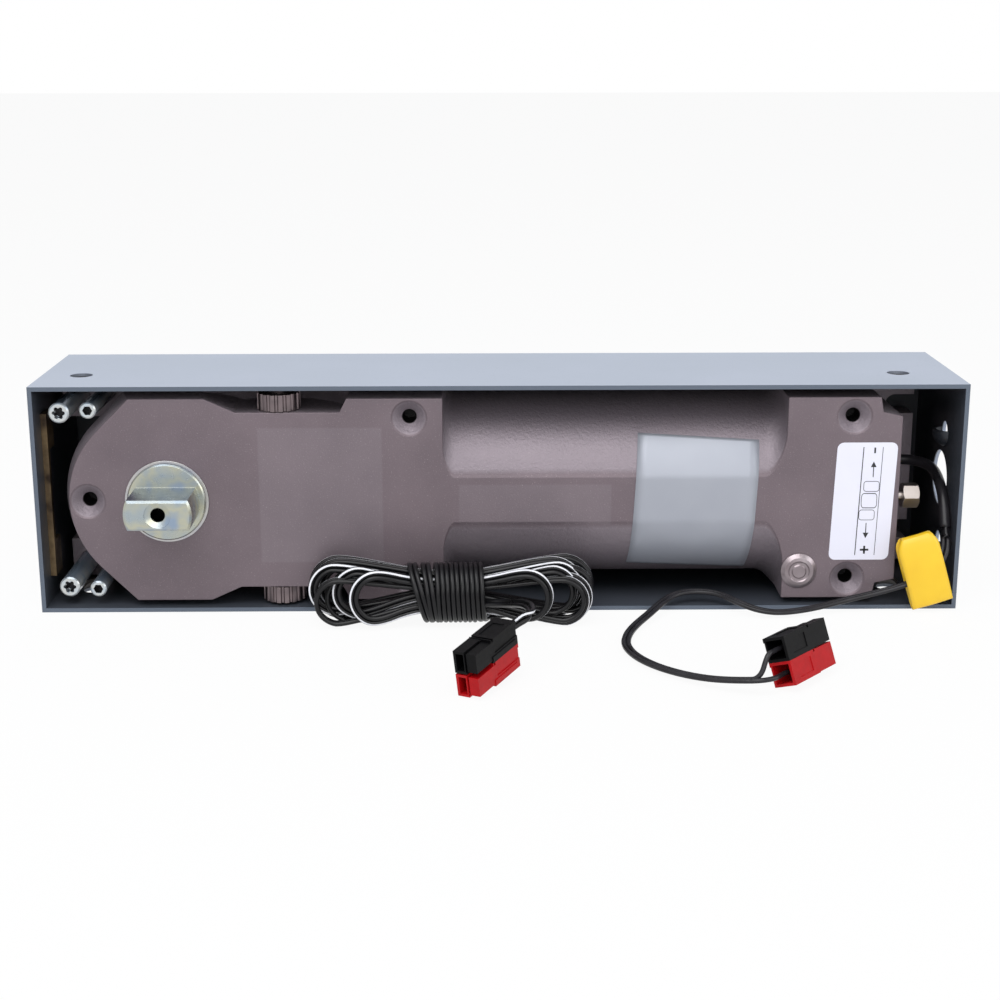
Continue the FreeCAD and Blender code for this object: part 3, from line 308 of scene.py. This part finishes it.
# Supply lead
# A flat twin flex with a white tracer, folded into long loops and wrapped round its middle
# with its own last turns. One end runs off to the left-hand connectors.
core_r = 0.86 * mm
hank_x, hank_y, hank_z = -17.0, -46.8, 12.0
band_left, band_right = -29.5, -5.5
neck_start, neck_long, neck_depth = 9.0, 21.0, 0.54
tail_side, turn_side, wrap_side = Vector((0.5, 0.8, 0.5)), Vector((0.6, 1, 0)), Vector((1, 0, 0))
rng = random.Random(7)
# reach left, reach right, top, bottom, how far behind the middle, how far the flex stands on
# edge, and the share of its height that a loop keeps under the wraps; the front loop is last
folds = [(-66.0, 32.0, 22.4, 1.8, 6.2, 0.15, 0.55), (-62.0, 31.0, 20.4, 3.8, 4.8, 0.9, 0.2),
         (-65.0, 28.0, 22.2, 1.5, 2.9, 0.1, 0.62), (-58.0, 31.6, 20.0, 3.2, 1.4, 0.15, 0.12),
         (-64.8, 27.0, 21.0, 4.6, -1.0, 0.95, 0.4), (-60.0, 30.6, 18.0, 1.4, -1.9, 0.1, 0.62),
         (-56.5, 25.5, 20.6, 4.2, -3.8, 0.9, 0.16), (-63.4, 29.4, 17.6, 1.4, -5.2, 0.1, 0.36),
         (-50.5, 17.0, 20.6, 2.2, -7.2, 1.0, 0.56)]
supply_points, supply_sides = [], []


def lay(x, y, z, side, tight):
    """Adds a point of the supply lead; near the wraps the loops are drawn together."""
    loose = min(1.0, max(0.0, (abs(x - (band_left + band_right) / 2) - neck_start) / neck_long))
    loose = loose * loose * (3 - 2 * loose)
    supply_points.append(spot(x, hank_y + (y - hank_y) * (neck_depth + (1 - neck_depth) * loose),
                              hank_z + (z - hank_z) * (tight + (1 - tight) * loose)))
    supply_sides.append(Vector(side))


for place in [entry(supply_pair, 1, -8.5 * mm), entry(supply_pair, 1, 5 * mm), spot(9.4, -90.2, 17.6),
              spot(9.6, -83.0, 17.4), spot(8.6, -75.8, 16.2), spot(6.6, -68.6, 14.4), spot(3.4, -61.9, 12.2),
              spot(-1.6, -56.0, 10.3), spot(-8.0, -52.2, 9.1), spot(-16.0, -50.9, 8.5)]:
    supply_points.append(place)
    supply_sides.append(tail_side)
for i, (left, right, top, bottom, back, edge, tight) in enumerate(folds[::-1]):
    y = hank_y + back
    following = folds[::-1][min(i + 1, len(folds) - 1)]
    y_next, edge_next = hank_y + following[4], following[5]
    middle, half = (top + bottom) / 2, (top - bottom) / 2
    drift, lobe = rng.uniform(-0.4, 0.4), half * 1.04
    # once round: x, and the share of the half height above the middle
    ring = [(band_left + 5, -0.86), (band_left - 3, -0.94)]
    ring += [(left + lobe * (1 - math.cos(math.radians(t))), math.sin(math.radians(t))) for t in range(-90, 91, 30)]
    ring += [(band_left - 3, 0.94), (band_left + 5, 0.86), (band_right - 5, 0.86), (band_right + 3, 0.94)]
    ring += [(right - lobe * (1 - math.cos(math.radians(t))), math.sin(math.radians(t))) for t in range(90, -91, -30)]
    ring += [(band_right + 3, -0.94), (band_right - 5, -0.86)]
    last = len(ring) - 1
    if i == len(folds) - 1:
        ring = ring[:-2]
    for k, (x, z) in enumerate(ring):
        share = k / last
        onward = max(0.0, share - 0.5) / 0.5
        depth = y + (y_next - y) * onward + drift * math.sin(6.28 * share) + rng.uniform(-0.2, 0.2)
        turn = edge + (edge_next - edge) * onward
        out = Vector((x - hank_x, 0, z * half * 3)).normalized()
        lay(x, depth, middle + z * half + rng.uniform(-0.1, 0.1), Vector((0, 1, 0)) * (1 - turn) + out * turn, tight)
for place in (spot(9, -41.2, 1.9), spot(1.5, -41.6, 1.4), spot(-4.5, -43.6, 1.2)):
    supply_points.append(place)
    supply_sides.append(turn_side)
# the wraps: seven turns over the middle, the last of them slanting
wraps, steps, ring_y, ring_z = 7, 12, 8.6, 10.0
wrap_start, wrap_square, wrap_drop = -math.pi / 2 - 0.5, 2.15, 0.7
slant_from, slant_by, band_inset = 0.66, 3.0, 0.9
band_run = band_left - band_right + 1.4
for i in range(wraps * steps - 2):
    angle = wrap_start - 2 * math.pi * i / steps
    share = i / (wraps * steps - 3)
    slant = slant_by * max(0.0, (share - slant_from) / (1 - slant_from)) * math.sin(angle)
    bulge = (abs(math.cos(angle)) ** wrap_square + abs(math.sin(angle)) ** wrap_square) ** (-1 / wrap_square)
    supply_points.append(spot(band_right - band_inset + band_run * share - slant,
                              hank_y + ring_y * math.cos(angle) * bulge,
                              hank_z - wrap_drop + ring_z * math.sin(angle) * bulge))
    supply_sides.append(wrap_side)
supply_line = route_line(supply_points, 5)
supply_across = route_line(supply_sides, 5)
bm = bmesh.new()
tube(bm, supply_line, core_r, 10, supply_across, -core_r)
tube(bm, supply_line, core_r, 16, supply_across, core_r, stripe=(2, 3))
supply = piece("supply_flex", bm, "closer", "black_rubber", lead_black, tracer_white)
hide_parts("supply_hank", "supply_tail")


# Connector housings
# Small moulded power connectors, 7.9 mm square, keyed together in pairs: black over red.
# In front a hood with a spring contact beside a tongue, behind a square wire pocket.
def plastic(name, colour, shade, rough=0.42, shine=0.3):
    finish = Finish(name, Roughness=rough, Specular_IOR_Level=shine)
    patch = finish.grain(3 * mm, 3)
    finish.set("Base Color", finish.mix(patch.within(0.3, 0.8), colour, shade))
    finish.set("Roughness", finish.grain(1.2 * mm, 3) * 0.2 + (rough - 0.1))
    finish.bump(finish.grain(0.25 * mm, 2), 0.03 * mm, 0.5)
    return finish.material


housing_red = plastic("housing_red", tone(176, 10, 18), tone(160, 6, 14), 0.42, 0.2)
housing_black = plastic("housing_black", tone(8, 8, 10), tone(5, 5, 6), 0.46, 0.12)


def cuboid(low, high, name="cuboid"):
    """A plain block as its own object, to be joined to or cut from another."""
    bm = bmesh.new()
    bmesh.ops.create_cube(bm, size=1)
    for v in bm.verts:
        for k in range(3):
            v.co[k] = (low[k] + (v.co[k] + 0.5) * (high[k] - low[k])) * mm
    mesh = bpy.data.meshes.new(name)
    bm.to_mesh(mesh)
    bm.free()
    made = bpy.data.objects.new(name, mesh)
    bpy.context.scene.collection.objects.link(made)
    return made


def worked(base, steps):
    """Joins blocks to a base and cuts others from it, then throws the blocks away."""
    for operation, tool in steps:
        change = base.modifiers.new("work", "BOOLEAN")
        change.operation, change.object, change.solver = operation, tool, "EXACT"
    mesh = bpy.data.meshes.new_from_object(base.evaluated_get(bpy.context.evaluated_depsgraph_get()))
    base.modifiers.clear()
    base.data = mesh
    for _, tool in steps:
        bpy.data.objects.remove(tool)
    return base


def rounded(made, width, segments=2, angle=32):
    """Rounds the sharp edges of a finished block."""
    bevel = made.modifiers.new("edges", "BEVEL")
    bevel.width, bevel.segments, bevel.limit_method = width, segments, "ANGLE"
    bevel.angle_limit = math.radians(angle)
    mesh = bpy.data.meshes.new_from_object(made.evaluated_get(bpy.context.evaluated_depsgraph_get()))
    made.modifiers.clear()
    made.data = mesh
    for face in made.data.polygons:
        face.use_smooth = False
    return made


def housing(name, node, pair, floor_no, material):
    """One housing in its own millimetres, mating end first, then laid in its pair."""
    s = housing_side
    base = cuboid((9.6, 0, 0), (housing_length, s, s), name)
    steps = [("UNION", cuboid((0, s / 2 - 0.4, 0.25), (9.7, s, s - 0.25))),
             ("UNION", cuboid((0.4, 0, 0.9), (9.7, s / 2 - 0.4, s - 0.9))),
             ("UNION", cuboid((9.6, -0.28, 0.7), (23.2, 0.1, 2.2))),
             ("DIFFERENCE", cuboid((-1, s / 2 + 0.35, 1.1), (8.8, s - 0.9, s - 1.1))),
             ("DIFFERENCE", cuboid((-1, s / 2 - 0.45, 0.8), (8.6, s / 2 - 0.05, s + 1))),
             ("DIFFERENCE", cuboid((14.8, 0.95, 0.95), (26, s - 0.95, s - 0.95))),
             ("DIFFERENCE", cuboid((11.2, -1, 2.9), (26, 0.32, s - 1.4))),
             ("DIFFERENCE", cuboid((13.0, s - 0.25, 1.6), (21.0, s + 1, s - 1.6))),
             ("DIFFERENCE", cuboid((12.2, 1.8, s - 0.3), (21.0, s - 1.8, s + 1))),
             ("DIFFERENCE", cuboid((9.9, -1, s - 0.9), (10.8, s + 1, s + 1)))]
    made = rounded(worked(base, steps), 0.16 * mm)
    made.data.transform(pair @ Matrix.Translation((0, 0, floor_no * (s * mm))))
    made.data.materials.clear()
    made.data.materials.append(material)
    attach(made, "closer")
    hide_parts(node)
    return made


lead_housings = [housing("lead_housing_red", "lead_plug_red", lead_pair, 0, housing_red),
                 housing("lead_housing_black", "lead_plug_black", lead_pair, 1, housing_black)]
supply_housings = [
    housing("supply_housing_red", "supply_plug_red", supply_pair, 0, housing_red),
    housing("supply_housing_black", "supply_plug_black", supply_pair, 1, housing_black)]


# Flag
# A folded strip of glossy yellow film stuck round the lead. It is left bare.
def film(name, colour, shade, rough):
    finish = Finish(name, Roughness=rough, Coat_Weight=0.25, Coat_Roughness=0.2)
    soft = finish.grain(12 * mm, 2)
    finish.set("Base Color", finish.mix(soft.within(0.3, 0.75), colour, shade))
    finish.bump(finish.grain(4 * mm, 2), 0.12 * mm, 0.4)
    return finish.material


flag_yellow = film("flag_yellow", tone(238, 196, 34), tone(230, 184, 24), 0.36)
flag_long, flag_wide, flag_thick, film_thick = 27.0, 14.5, 6.0, 0.35
edge_gap, taper_long, taper_by = 0.1, 5.0, 0.34
flag_turn = Matrix.Translation(spot(149.0, -36.0, 15.4)) @ Matrix.Rotation(math.radians(-17.0), 4, "Y")
bm = bmesh.new()
loop_steps, across_steps = 56, 10
grid = []
half = flag_long / 2 - flag_thick / 2 - edge_gap
for r in (flag_thick / 2 - edge_gap, flag_thick / 2 - edge_gap - film_thick):
    rows = []
    for i in range(loop_steps):
        a = 2 * math.pi * i / loop_steps
        c, s = math.cos(a), math.sin(a)
        y = r * c * (1.0 if abs(s) < 0.98 else 0.9)
        z = half * max(-1, min(1, 1.25 * s)) + r * s
        row = []
        for j in range(across_steps + 1):
            t = j / across_steps - 0.5
            x = flag_wide * t
            taper_from = half + r - taper_long
            if z > taper_from:
                x *= 1 - taper_by * ((z - taper_from) / taper_long) ** 2.2
            y_here = y * (1.0 - 0.25 * (0.5 + t) * (1 if c > 0 else 0.4)) - 0.5 * math.cos(3.1 * t)
            row.append(bm.verts.new(flag_turn @ (Vector((x, y_here + 0.4, z)) * mm)))
        rows.append(row)
    grid.append(rows)
for rows, flip in ((grid[0], False), (grid[1], True)):
    for i in range(loop_steps):
        for j in range(across_steps):
            quad = (rows[i][j], rows[(i + 1) % loop_steps][j], rows[(i + 1) % loop_steps][j + 1], rows[i][j + 1])
            bm.faces.new(quad[::-1] if flip else quad).smooth = True
for j in (0, across_steps):
    for i in range(loop_steps):
        k = (i + 1) % loop_steps
        bm.faces.new((grid[0][i][j], grid[0][k][j], grid[1][k][j], grid[1][i][j]))
flag = piece("lead_flag_film", bm, "closer", "yellow_film", flag_yellow)
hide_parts("lead_flag")


# Stage
# A white floor that fades into a white surround and keeps a faint shadow.
bm = bmesh.new()
bmesh.ops.create_grid(bm, x_segments=1, y_segments=1, size=6)
floor_mesh = bpy.data.meshes.new("floor")
bm.to_mesh(floor_mesh)
bm.free()
floor = bpy.data.objects.new("floor", floor_mesh)
floor.location.z = -0.15 * mm
bpy.context.scene.collection.objects.link(floor)


def seen_white(tree, plain, glow, share):
    """Shows plain to the light, and glow to the camera, to reflections and through glass."""
    path = tree.nodes.new("ShaderNodeLightPath")
    rays = Flow(tree, path.outputs["Is Camera Ray"])
    for name in ("Is Glossy Ray", "Is Transmission Ray"):
        rays = rays.math("MAXIMUM", Flow(tree, path.outputs[name]))
    join = tree.nodes.new("ShaderNodeMixShader")
    tree.links.new((rays * share).socket, join.inputs[0])
    tree.links.new(plain.outputs[0], join.inputs[1])
    tree.links.new(glow.outputs[0], join.inputs[2])
    return join.outputs[0]


floor_white = bpy.data.materials.new("floor_white")
floor_white.use_nodes = True
tree = floor_white.node_tree
tree.nodes.clear()
ground = tree.nodes.new("ShaderNodeBsdfDiffuse")
ground.inputs["Color"].default_value = (0.86, 0.86, 0.86, 1)
glow = tree.nodes.new("ShaderNodeEmission")
glow.inputs["Color"].default_value = (1, 1, 1, 1)
out = tree.nodes.new("ShaderNodeOutputMaterial")
tree.links.new(seen_white(tree, ground, glow, 0.93), out.inputs[0])
floor.data.materials.append(floor_white)


# Light
# A large soft box above and in front, two weaker ones in front and on the right, and a pale room.
world = bpy.data.worlds.new("room")
bpy.context.scene.world = world
world.use_nodes = True
tree = world.node_tree
tree.nodes.clear()
room = tree.nodes.new("ShaderNodeBackground")
room.inputs["Color"].default_value = (0.93, 0.96, 1.0, 1)
room.inputs["Strength"].default_value = 0.4
white = tree.nodes.new("ShaderNodeBackground")
white.inputs["Color"].default_value = (1, 1, 1, 1)
white.inputs["Strength"].default_value = 1.0
out = tree.nodes.new("ShaderNodeOutputWorld")
tree.links.new(seen_white(tree, room, white, 1.0), out.inputs[0])


def soft_box(name, place, wide, high, power):
    """A rectangular lamp that faces the middle of the box."""
    data = bpy.data.lights.new(name, "AREA")
    data.shape, data.size, data.size_y, data.energy = "RECTANGLE", wide, high, power
    lamp = bpy.data.objects.new(name, data)
    lamp.location = place
    lamp.rotation_euler = (Vector((0, 0, 0.04)) - Vector(place)).to_track_quat("-Z", "Y").to_euler()
    bpy.context.scene.collection.objects.link(lamp)


soft_box("key_light", (-0.25, -0.75, 1.15), 1.3, 0.9, 13)
soft_box("front_light", (0.15, -1.5, 0.55), 1.6, 0.8, 7)
soft_box("right_light", (1.3, -0.5, 0.6), 0.8, 0.8, 4)


# Cement box
# Folded zinc-plated sheet with a cool grey sheen, with painted shade inside, darker further in, where little light
# comes.
# Its cut edges are bare and darker, and the rims of its two screw holes are painted dark brown, partly rust and
# partly painted shade in the holes.
def coat(node, material):
    """Gives a CAD node its finish."""
    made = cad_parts[node]
    made.data.materials.clear()
    made.data.materials.append(material)


finish = Finish("zinc_sheet", Metallic=0.3, Roughness=0.42)
cloud = finish.grain(45 * mm, 3)
speck = finish.grain(1.6 * mm, 3)
base = finish.mix(cloud.within(0.3, 0.7), tone(162, 173, 191), tone(174, 183, 200))
base = finish.mix(speck.within(0.62, 0.8) * 0.3, base, tone(142, 153, 171))
mid_height, hole_depth, hole_r = 40.5, -11.0, 4.0
from_middle = (finish.z - mid_height * mm).math("ABSOLUTE")
across_wall = finish.x.math("ABSOLUTE").within(160.7 * mm, 161.0 * mm)
over_wall = from_middle.within(39.2 * mm, 39.5 * mm)
painted_inside_shade = (1 - across_wall) * (1 - over_wall) * (1 - finish.y.within(32.1 * mm, 32.4 * mm))
# painted shade: the inside faces of the box are mixed towards a dark tone, more so further in
base = finish.mix(painted_inside_shade * (finish.y.within(-31 * mm, -8 * mm) * 0.14 + 0.83), base, tone(16, 19, 24))
# the rims of the two screw holes: painted dark brown, partly rust and partly painted shade in the holes
for x in (-148.0, 142.0):
    hole = ((finish.x / mm - x) ** 2 + (finish.y / mm - hole_depth) ** 2) ** 0.5
    hole = hole.within(hole_r - 0.05, hole_r + 0.05)
    below = 1 - from_middle.within(40.3 * mm, 40.42 * mm)
    base = finish.mix((1 - hole) * below, base, tone(46, 40, 36))
cut = (finish.y * -1).within(32.8 * mm, 32.95 * mm)
finish.set("Base Color", finish.mix(cut, base, tone(90, 99, 112)))
finish.set("Roughness", cloud * 0.2 + cut * 0.1 + 0.3)
finish.bump(finish.grain(0.9 * mm, 4), 0.04 * mm, 0.4)
coat("cement_box", finish.material)

finish = Finish("yellow_zinc", Metallic=0.8, Roughness=0.4)
stain = finish.grain(7 * mm, 4)
finish.set("Base Color", finish.mix(stain.within(0.35, 0.7), tone(132, 112, 84), tone(58, 46, 38)))
finish.set("Roughness", stain * 0.4 + 0.2)
finish.bump(finish.grain(1.2 * mm, 4), 0.1 * mm, 0.6)
coat("end_bracket", finish.material)


# Casting
# The closer's body, cast in iron and painted thin with a metallic brown-grey paint. The
# face is ground flat, and the round cylinder keeps its rough cast skin, lightened by a painted highlight.
def cast_iron(name, face, dark, light):
    """Paint in two close tones with bright sparks, a painted highlight on the cylinder, and painted shade in the
    depth of the screw holes.
    """
    finish = Finish(name, Metallic=0.4, Roughness=0.46)
    rough_skin_and_highlight = finish.y.within(-30.7 * mm, -30.2 * mm)
    spark = finish.grain(0.5 * mm, 3, 0.6)
    cloud = finish.grain(30 * mm, 3)
    base = finish.mix(cloud.within(0.3, 0.7), face, dark)
    base = finish.mix(spark.within(0.6, 0.8) * 0.55, base, light)
    front = 1 - rough_skin_and_highlight
    # two bare clear films, on the plate and on the strip beside the barrel
    films = finish.patch(-84, -41, 17.6, 66, 0.3) * front + finish.patch(-14.3, 39, 30.8, 45.5, 0.3) * front
    base = finish.mix(films * 0.07, base, tone(172, 168, 176))
    # painted highlight: the cylinder's rough skin is mixed half way to a lighter tone
    base = finish.mix(rough_skin_and_highlight * 0.5, base, tone(146, 138, 146))
    # painted shade: near black deep in the screw holes of the face
    holes = finish.away(-143.9, 40.0)
    for x in (-31.4, 123.1):
        for z in (10.7, 69.3):
            holes = holes.math("MINIMUM", finish.away(x, z))
    base = finish.mix((1 - holes.within(2.55, 2.7)) * finish.y.within(-27.6 * mm, -27 * mm), base, tone(12, 11, 12))
    finish.set("Base Color", base)
    finish.set("Roughness", spark * 0.25 + cloud * 0.1 - films * 0.08 + 0.3)
    coarse = finish.grain(1.3 * mm, 5, 0.65)
    finish.bump(spark * 0.3 + coarse * rough_skin_and_highlight * 1.3, 0.4 * mm, 0.6, 0.45 * mm)
    return finish.material


casting = cast_iron("painted_casting", tone(114, 102, 108), tone(102, 91, 97), tone(196, 182, 186))
coat("closer_body", casting)
coat("bottom_cover", casting)
coat("end_plug", casting)


# Steel parts
# Turned and zinc-plated: the spindle, screws, regulators and valve, with the faint blue and
# straw tints of plating, and the plain ground steel inside.
# The spindle and screws carry a painted sky reflection on their upward faces and painted shade in their sockets.
def plated(name, first, second, third, rough, size=8 * mm, painted_sky_reflection=None, holes=(), hole_r=2.3, hole_y=-29.9,
           metal=1.0):
    """Metal with three soft tints, a painted sky reflection on what faces up, and painted shade in sockets at (x, z)
    places.
    """
    finish = Finish(name, Metallic=metal, Roughness=rough)
    tint = finish.grain(size, 2)
    base = finish.mix(tint.within(0.35, 0.55), first, second)
    base = finish.mix(tint.within(0.55, 0.75), base, third)
    if painted_sky_reflection:
        # painted reflection: faces that point up take the sky tint
        up = finish.node("SeparateXYZ", {0: finish.node("TexCoord", {}, "Normal")}, 2)
        base = finish.mix(up.within(0.3, 0.95), base, painted_sky_reflection)
    # painted shade: dark deep in each socket
    for x, z in holes:
        pit = (1 - finish.away(x, z).within(hole_r, hole_r + 0.08)) * (finish.y / mm).within(hole_y, hole_y + 0.6)
        base = finish.mix(pit, base, tone(22, 22, 24))
    finish.set("Base Color", base)
    finish.set("Roughness", finish.grain(2 * mm, 4) * 0.2 + (rough - 0.1))
    finish.bump(finish.grain(0.6 * mm, 3), 0.02 * mm, 0.5, 0.2 * mm)
    return finish.material


axis_x, axis_z = -116.3, 40.0
screw_sockets = [(-152.3, axis_z + 31.4), (-152.3, axis_z - 31.4), (-142.3, axis_z + 32.2), (-142.3, axis_z - 32.2)]
bright_zinc = plated("bright_zinc", tone(166, 176, 180), tone(186, 186, 168), tone(148, 164, 184), 0.3, 8 * mm,
                     tone(92, 106, 124), [(axis_x, axis_z)], 2.6, -48.5)
screw_zinc = plated("screw_zinc", tone(186, 196, 204), tone(196, 198, 196), tone(160, 176, 194), 0.22, 5 * mm,
                    tone(120, 134, 150), screw_sockets, 2.0, -30.3, 0.5)
ground_steel = plated("ground_steel", tone(178, 178, 184), tone(190, 188, 186), tone(170, 174, 182), 0.3)
dark_steel = plated("dark_steel", tone(92, 92, 98), tone(84, 84, 88), tone(100, 98, 104), 0.4)
warm_steel = plated("warm_steel", tone(170, 162, 158), tone(158, 150, 144), tone(182, 176, 172), 0.32)
brown_steel = plated("brown_steel", tone(126, 114, 116), tone(112, 102, 104), tone(142, 130, 130), 0.36)
coat("spindle", bright_zinc)
for node in ("clamp_screws", "level_screw_top", "level_screw_low"):
    coat(node, screw_zinc)
for node in ("side_regulator_top", "side_regulator_low"):
    coat(node, brown_steel)
for node in ("upper_bearing", "thrust_washer_upper", "thrust_cage", "thrust_washer_lower", "cam_roller",
             "roller_pin", "check_ball", "yoke_plates", "yoke_head", "pull_rod", "rod_nut", "spring_seat",
             "valve_carrier", "coil_can", "pole_core", "armature"):
    coat(node, ground_steel)
for node in ("mainspring", "snap_ring", "piston"):
    coat(node, dark_steel)
coat("speed_valve", warm_steel)
filler_steel = plated("filler_steel", tone(148, 138, 142), tone(138, 128, 132), tone(158, 150, 154), 0.34)
coat("filler_plug", filler_steel)
brass = plated("brass", tone(206, 172, 104), tone(196, 160, 92), tone(214, 184, 120), 0.3)
coat("check_bush", brass)
copper = plated("copper_winding", tone(196, 116, 74), tone(182, 100, 60), tone(206, 130, 88), 0.32)
coat("coil_winding", copper)


# Labels
# A silver foil wrapped over the cylinder, left bare, and a white one on the end block with
# plain signs for the valve: plus, minus, two arrows and three steps.
foil = Finish("silver_foil", Metallic=0.25, Roughness=0.44)
foil.set("Base Color", foil.mix(foil.grain(20 * mm, 2), tone(150, 154, 164), tone(164, 167, 176)))
foil.bump(foil.grain(9 * mm, 2), 0.05 * mm, 0.2)
paper = Finish("white_label", Roughness=0.4)
paper.set("Base Color", paper.mix(paper.grain(15 * mm, 2), tone(220, 220, 234), tone(228, 228, 240)))
ink = Finish("label_ink", Roughness=0.5)
ink.set("Base Color", ink.mix(ink.grain(5 * mm, 2), tone(24, 24, 28), tone(34, 34, 38)))

# the silver label: its four corners by place along the barrel and angle round it
barrel_y, barrel_z, label_r, flat_y = 2.045, 40, 34.06, -31.06
around, along = 48, 12
bm = bmesh.new()
rows = []
for j in range(around + 1):
    v = j / around
    row = []
    for i in range(along + 1):
        u = i / along
        x = (45.5 + 42.9 * u) * (1 - v) + (48.5 + 42.5 * u) * v
        a = math.radians((-50.8 - 7.9 * u) * (1 - v) + (40.9 - 4.9 * u) * v)
        y, z = barrel_y - label_r * math.cos(a), barrel_z + label_r * math.sin(a)
        if y < flat_y:
            y, z = flat_y, barrel_z + (barrel_y - flat_y) * math.tan(a)
        row.append(bm.verts.new(spot(x, y, z)))
    rows.append(row)
for lower, upper in zip(rows, rows[1:]):
    for k in range(along):
        bm.faces.new((lower[k], lower[k + 1], upper[k + 1], upper[k])).smooth = True
bmesh.ops.recalc_face_normals(bm, faces=bm.faces)
bmesh.ops.solidify(bm, geom=bm.faces[:], thickness=-0.1 * mm)
piece("silver_label", bm, "closer", "black_plastic", foil.material)


def slab(bm, corners, front, back, ink_on=0):
    """A flat plate from a closed outline of (x, z) points between two depths."""
    near = [bm.verts.new(spot(x, front, z)) for x, z in corners]
    far = [bm.verts.new(spot(x, back, z)) for x, z in corners]
    faces = [bm.faces.new(near), bm.faces.new(far[::-1])]
    for k in range(len(corners)):
        n = (k + 1) % len(corners)
        faces.append(bm.faces.new((near[k], far[k], far[n], near[n])))
    for face in faces:
        face.material_index = ink_on


def round_box(left, right, low, high, r):
    """Outline of a rectangle with rounded corners."""
    return [(cx + r * math.cos(math.radians(a + b)), cz + r * math.sin(math.radians(a + b)))
            for cx, cz, a in ((right - r, high - r, 0), (left + r, high - r, 90), (left + r, low + r, 180),
                              (right - r, low + r, 270)) for b in (0, 22.5, 45, 67.5, 90)]


# the white label: two rules, the plus, the minus and the two arrows
lean, middle_z = 0.034, 39
bm = bmesh.new()
skew = [(x + lean * (z - middle_z), z) for x, z in round_box(116.9, 138.0, 17.7, 60.2, 2.2)]
slab(bm, skew, -31.12, -31.01)
signs = [[(125.3, 19.4), (125.6, 19.4), (126.9, 58.6), (126.6, 58.6)],
         [(132.2, 19.4), (132.4, 19.4), (133.6, 58.6), (133.4, 58.6)],
         [(127.2, 21.0), (130.2, 21.0), (130.2, 21.7), (127.2, 21.7)],
         [(128.35, 19.9), (129.05, 19.9), (129.05, 22.8), (128.35, 22.8)],
         [(130.4, 56.4), (131.0, 56.4), (131.0, 58.4), (130.4, 58.4)]]
for x, z, way in ((128.9, 29.4, -1), (130.5, 49.6, 1)):
    signs.append([(x - 0.15, z - 1.8), (x + 0.15, z - 1.8), (x + 0.15, z + 1.8), (x - 0.15, z + 1.8)])
    signs.append([(x - 1.0, z + way * 1.8), (x + 1.0, z + way * 1.8), (x, z + way * 3.8)])
for outline in signs:
    slab(bm, outline, -31.15, -31.10, 1)
piece("white_label", bm, "closer", "black_plastic", paper.material, ink.material)

# the three steps: one rounded frame, repeated up the label, with the middle one taller
bm = bmesh.new()
outer, hole = round_box(-2.8, 2.8, -1.92, 1.92, 1.0), round_box(-2.6, 2.6, -1.72, 1.72, 0.8)
for k in range(len(outer)):
    n = (k + 1) % len(outer)
    slab(bm, [outer[k], outer[n], hole[n], hole[k]], -0.02, 0.02)
one_step = bpy.data.objects.new("one_step", bpy.data.meshes.new("one_step"))
bm.to_mesh(one_step.data)
bm.free()
bpy.context.scene.collection.objects.link(one_step)
tree = bpy.data.node_groups.new("step_row", "GeometryNodeTree")
tree.interface.new_socket("Geometry", in_out="OUTPUT", socket_type="NodeSocketGeometry")
for name, kind in (("Geometry", "Geometry"), ("Count", "Int"), ("Start", "Vector"), ("Offset", "Vector"),
                   ("Taller", "Float"), ("Ink", "Material")):
    tree.interface.new_socket(name, in_out="INPUT", socket_type="NodeSocket" + kind)


def grow(kind, sockets, **settings):
    """Adds a geometry node with its sockets filled or linked."""
    made = tree.nodes.new(kind)
    for key, value in settings.items():
        setattr(made, key, value)
    for key, value in sockets.items():
        if isinstance(value, bpy.types.NodeSocket):
            tree.links.new(value, made.inputs[key])
        else:
            made.inputs[key].default_value = value
    return made.outputs[0] if made.outputs else made


given = grow("NodeGroupInput", {}).node.outputs
line = grow("GeometryNodeMeshLine", {"Count": given["Count"], "Start Location": given["Start"],
                                     "Offset": given["Offset"]}, mode="OFFSET")
from_middle = grow("ShaderNodeMath", {0: grow("GeometryNodeInputIndex", {}), 1: 1.0}, operation="SUBTRACT")
from_middle = grow("ShaderNodeMath", {0: from_middle}, operation="ABSOLUTE")
is_middle = grow("ShaderNodeMath", {0: 1.0, 1: from_middle}, operation="SUBTRACT")
height = grow("ShaderNodeMath", {0: is_middle, 1: given["Taller"], 2: 1.0}, operation="MULTIPLY_ADD")
scale = grow("ShaderNodeCombineXYZ", {"X": 1.0, "Y": 1.0, "Z": height})
row = grow("GeometryNodeInstanceOnPoints", {"Points": line, "Instance": given["Geometry"], "Scale": scale})
row = grow("GeometryNodeRealizeInstances", {"Geometry": row})
row = grow("GeometryNodeSetMaterial", {"Geometry": row, "Material": given["Ink"]})
grow("NodeGroupOutput", {"Geometry": row})
repeat = one_step.modifiers.new("steps", "NODES")
repeat.node_group = tree
values = {"Count": 3, "Start": spot(128.9, -31.125, 34.1), "Offset": spot(0.6, 0, 5.18), "Taller": 0.43,
          "Ink": ink.material}
for item in tree.interface.items_tree:
    if item.name in values:
        repeat[item.identifier] = values[item.name]
step_mesh = bpy.data.meshes.new_from_object(one_step.evaluated_get(bpy.context.evaluated_depsgraph_get()))
one_step.modifiers.remove(repeat)
bpy.data.objects.remove(one_step)
bm = bmesh.new()
bm.from_mesh(step_mesh)
piece("label_steps", bm, "closer", "black_plastic", ink.material)


# Rubber and plastic parts
# Seals, the coil's bobbin and the cable gland. Of the shaft seal only the steel case shows.
seal_black = pvc("seal_black", tone(28, 28, 30), tone(40, 40, 42), 0.5)
coat("shaft_seal", ground_steel)
for node in ("cover_seal", "plug_seal", "cable_gland"):
    coat(node, seal_black)
bobbin_grey = plastic("bobbin_grey", tone(150, 152, 154), tone(136, 138, 140))
coat("coil_bobbin", bobbin_grey)
coat("piston_seal", bobbin_grey)


# Picture
# The plain view transform.
bpy.context.scene.view_settings.view_transform = "Standard"
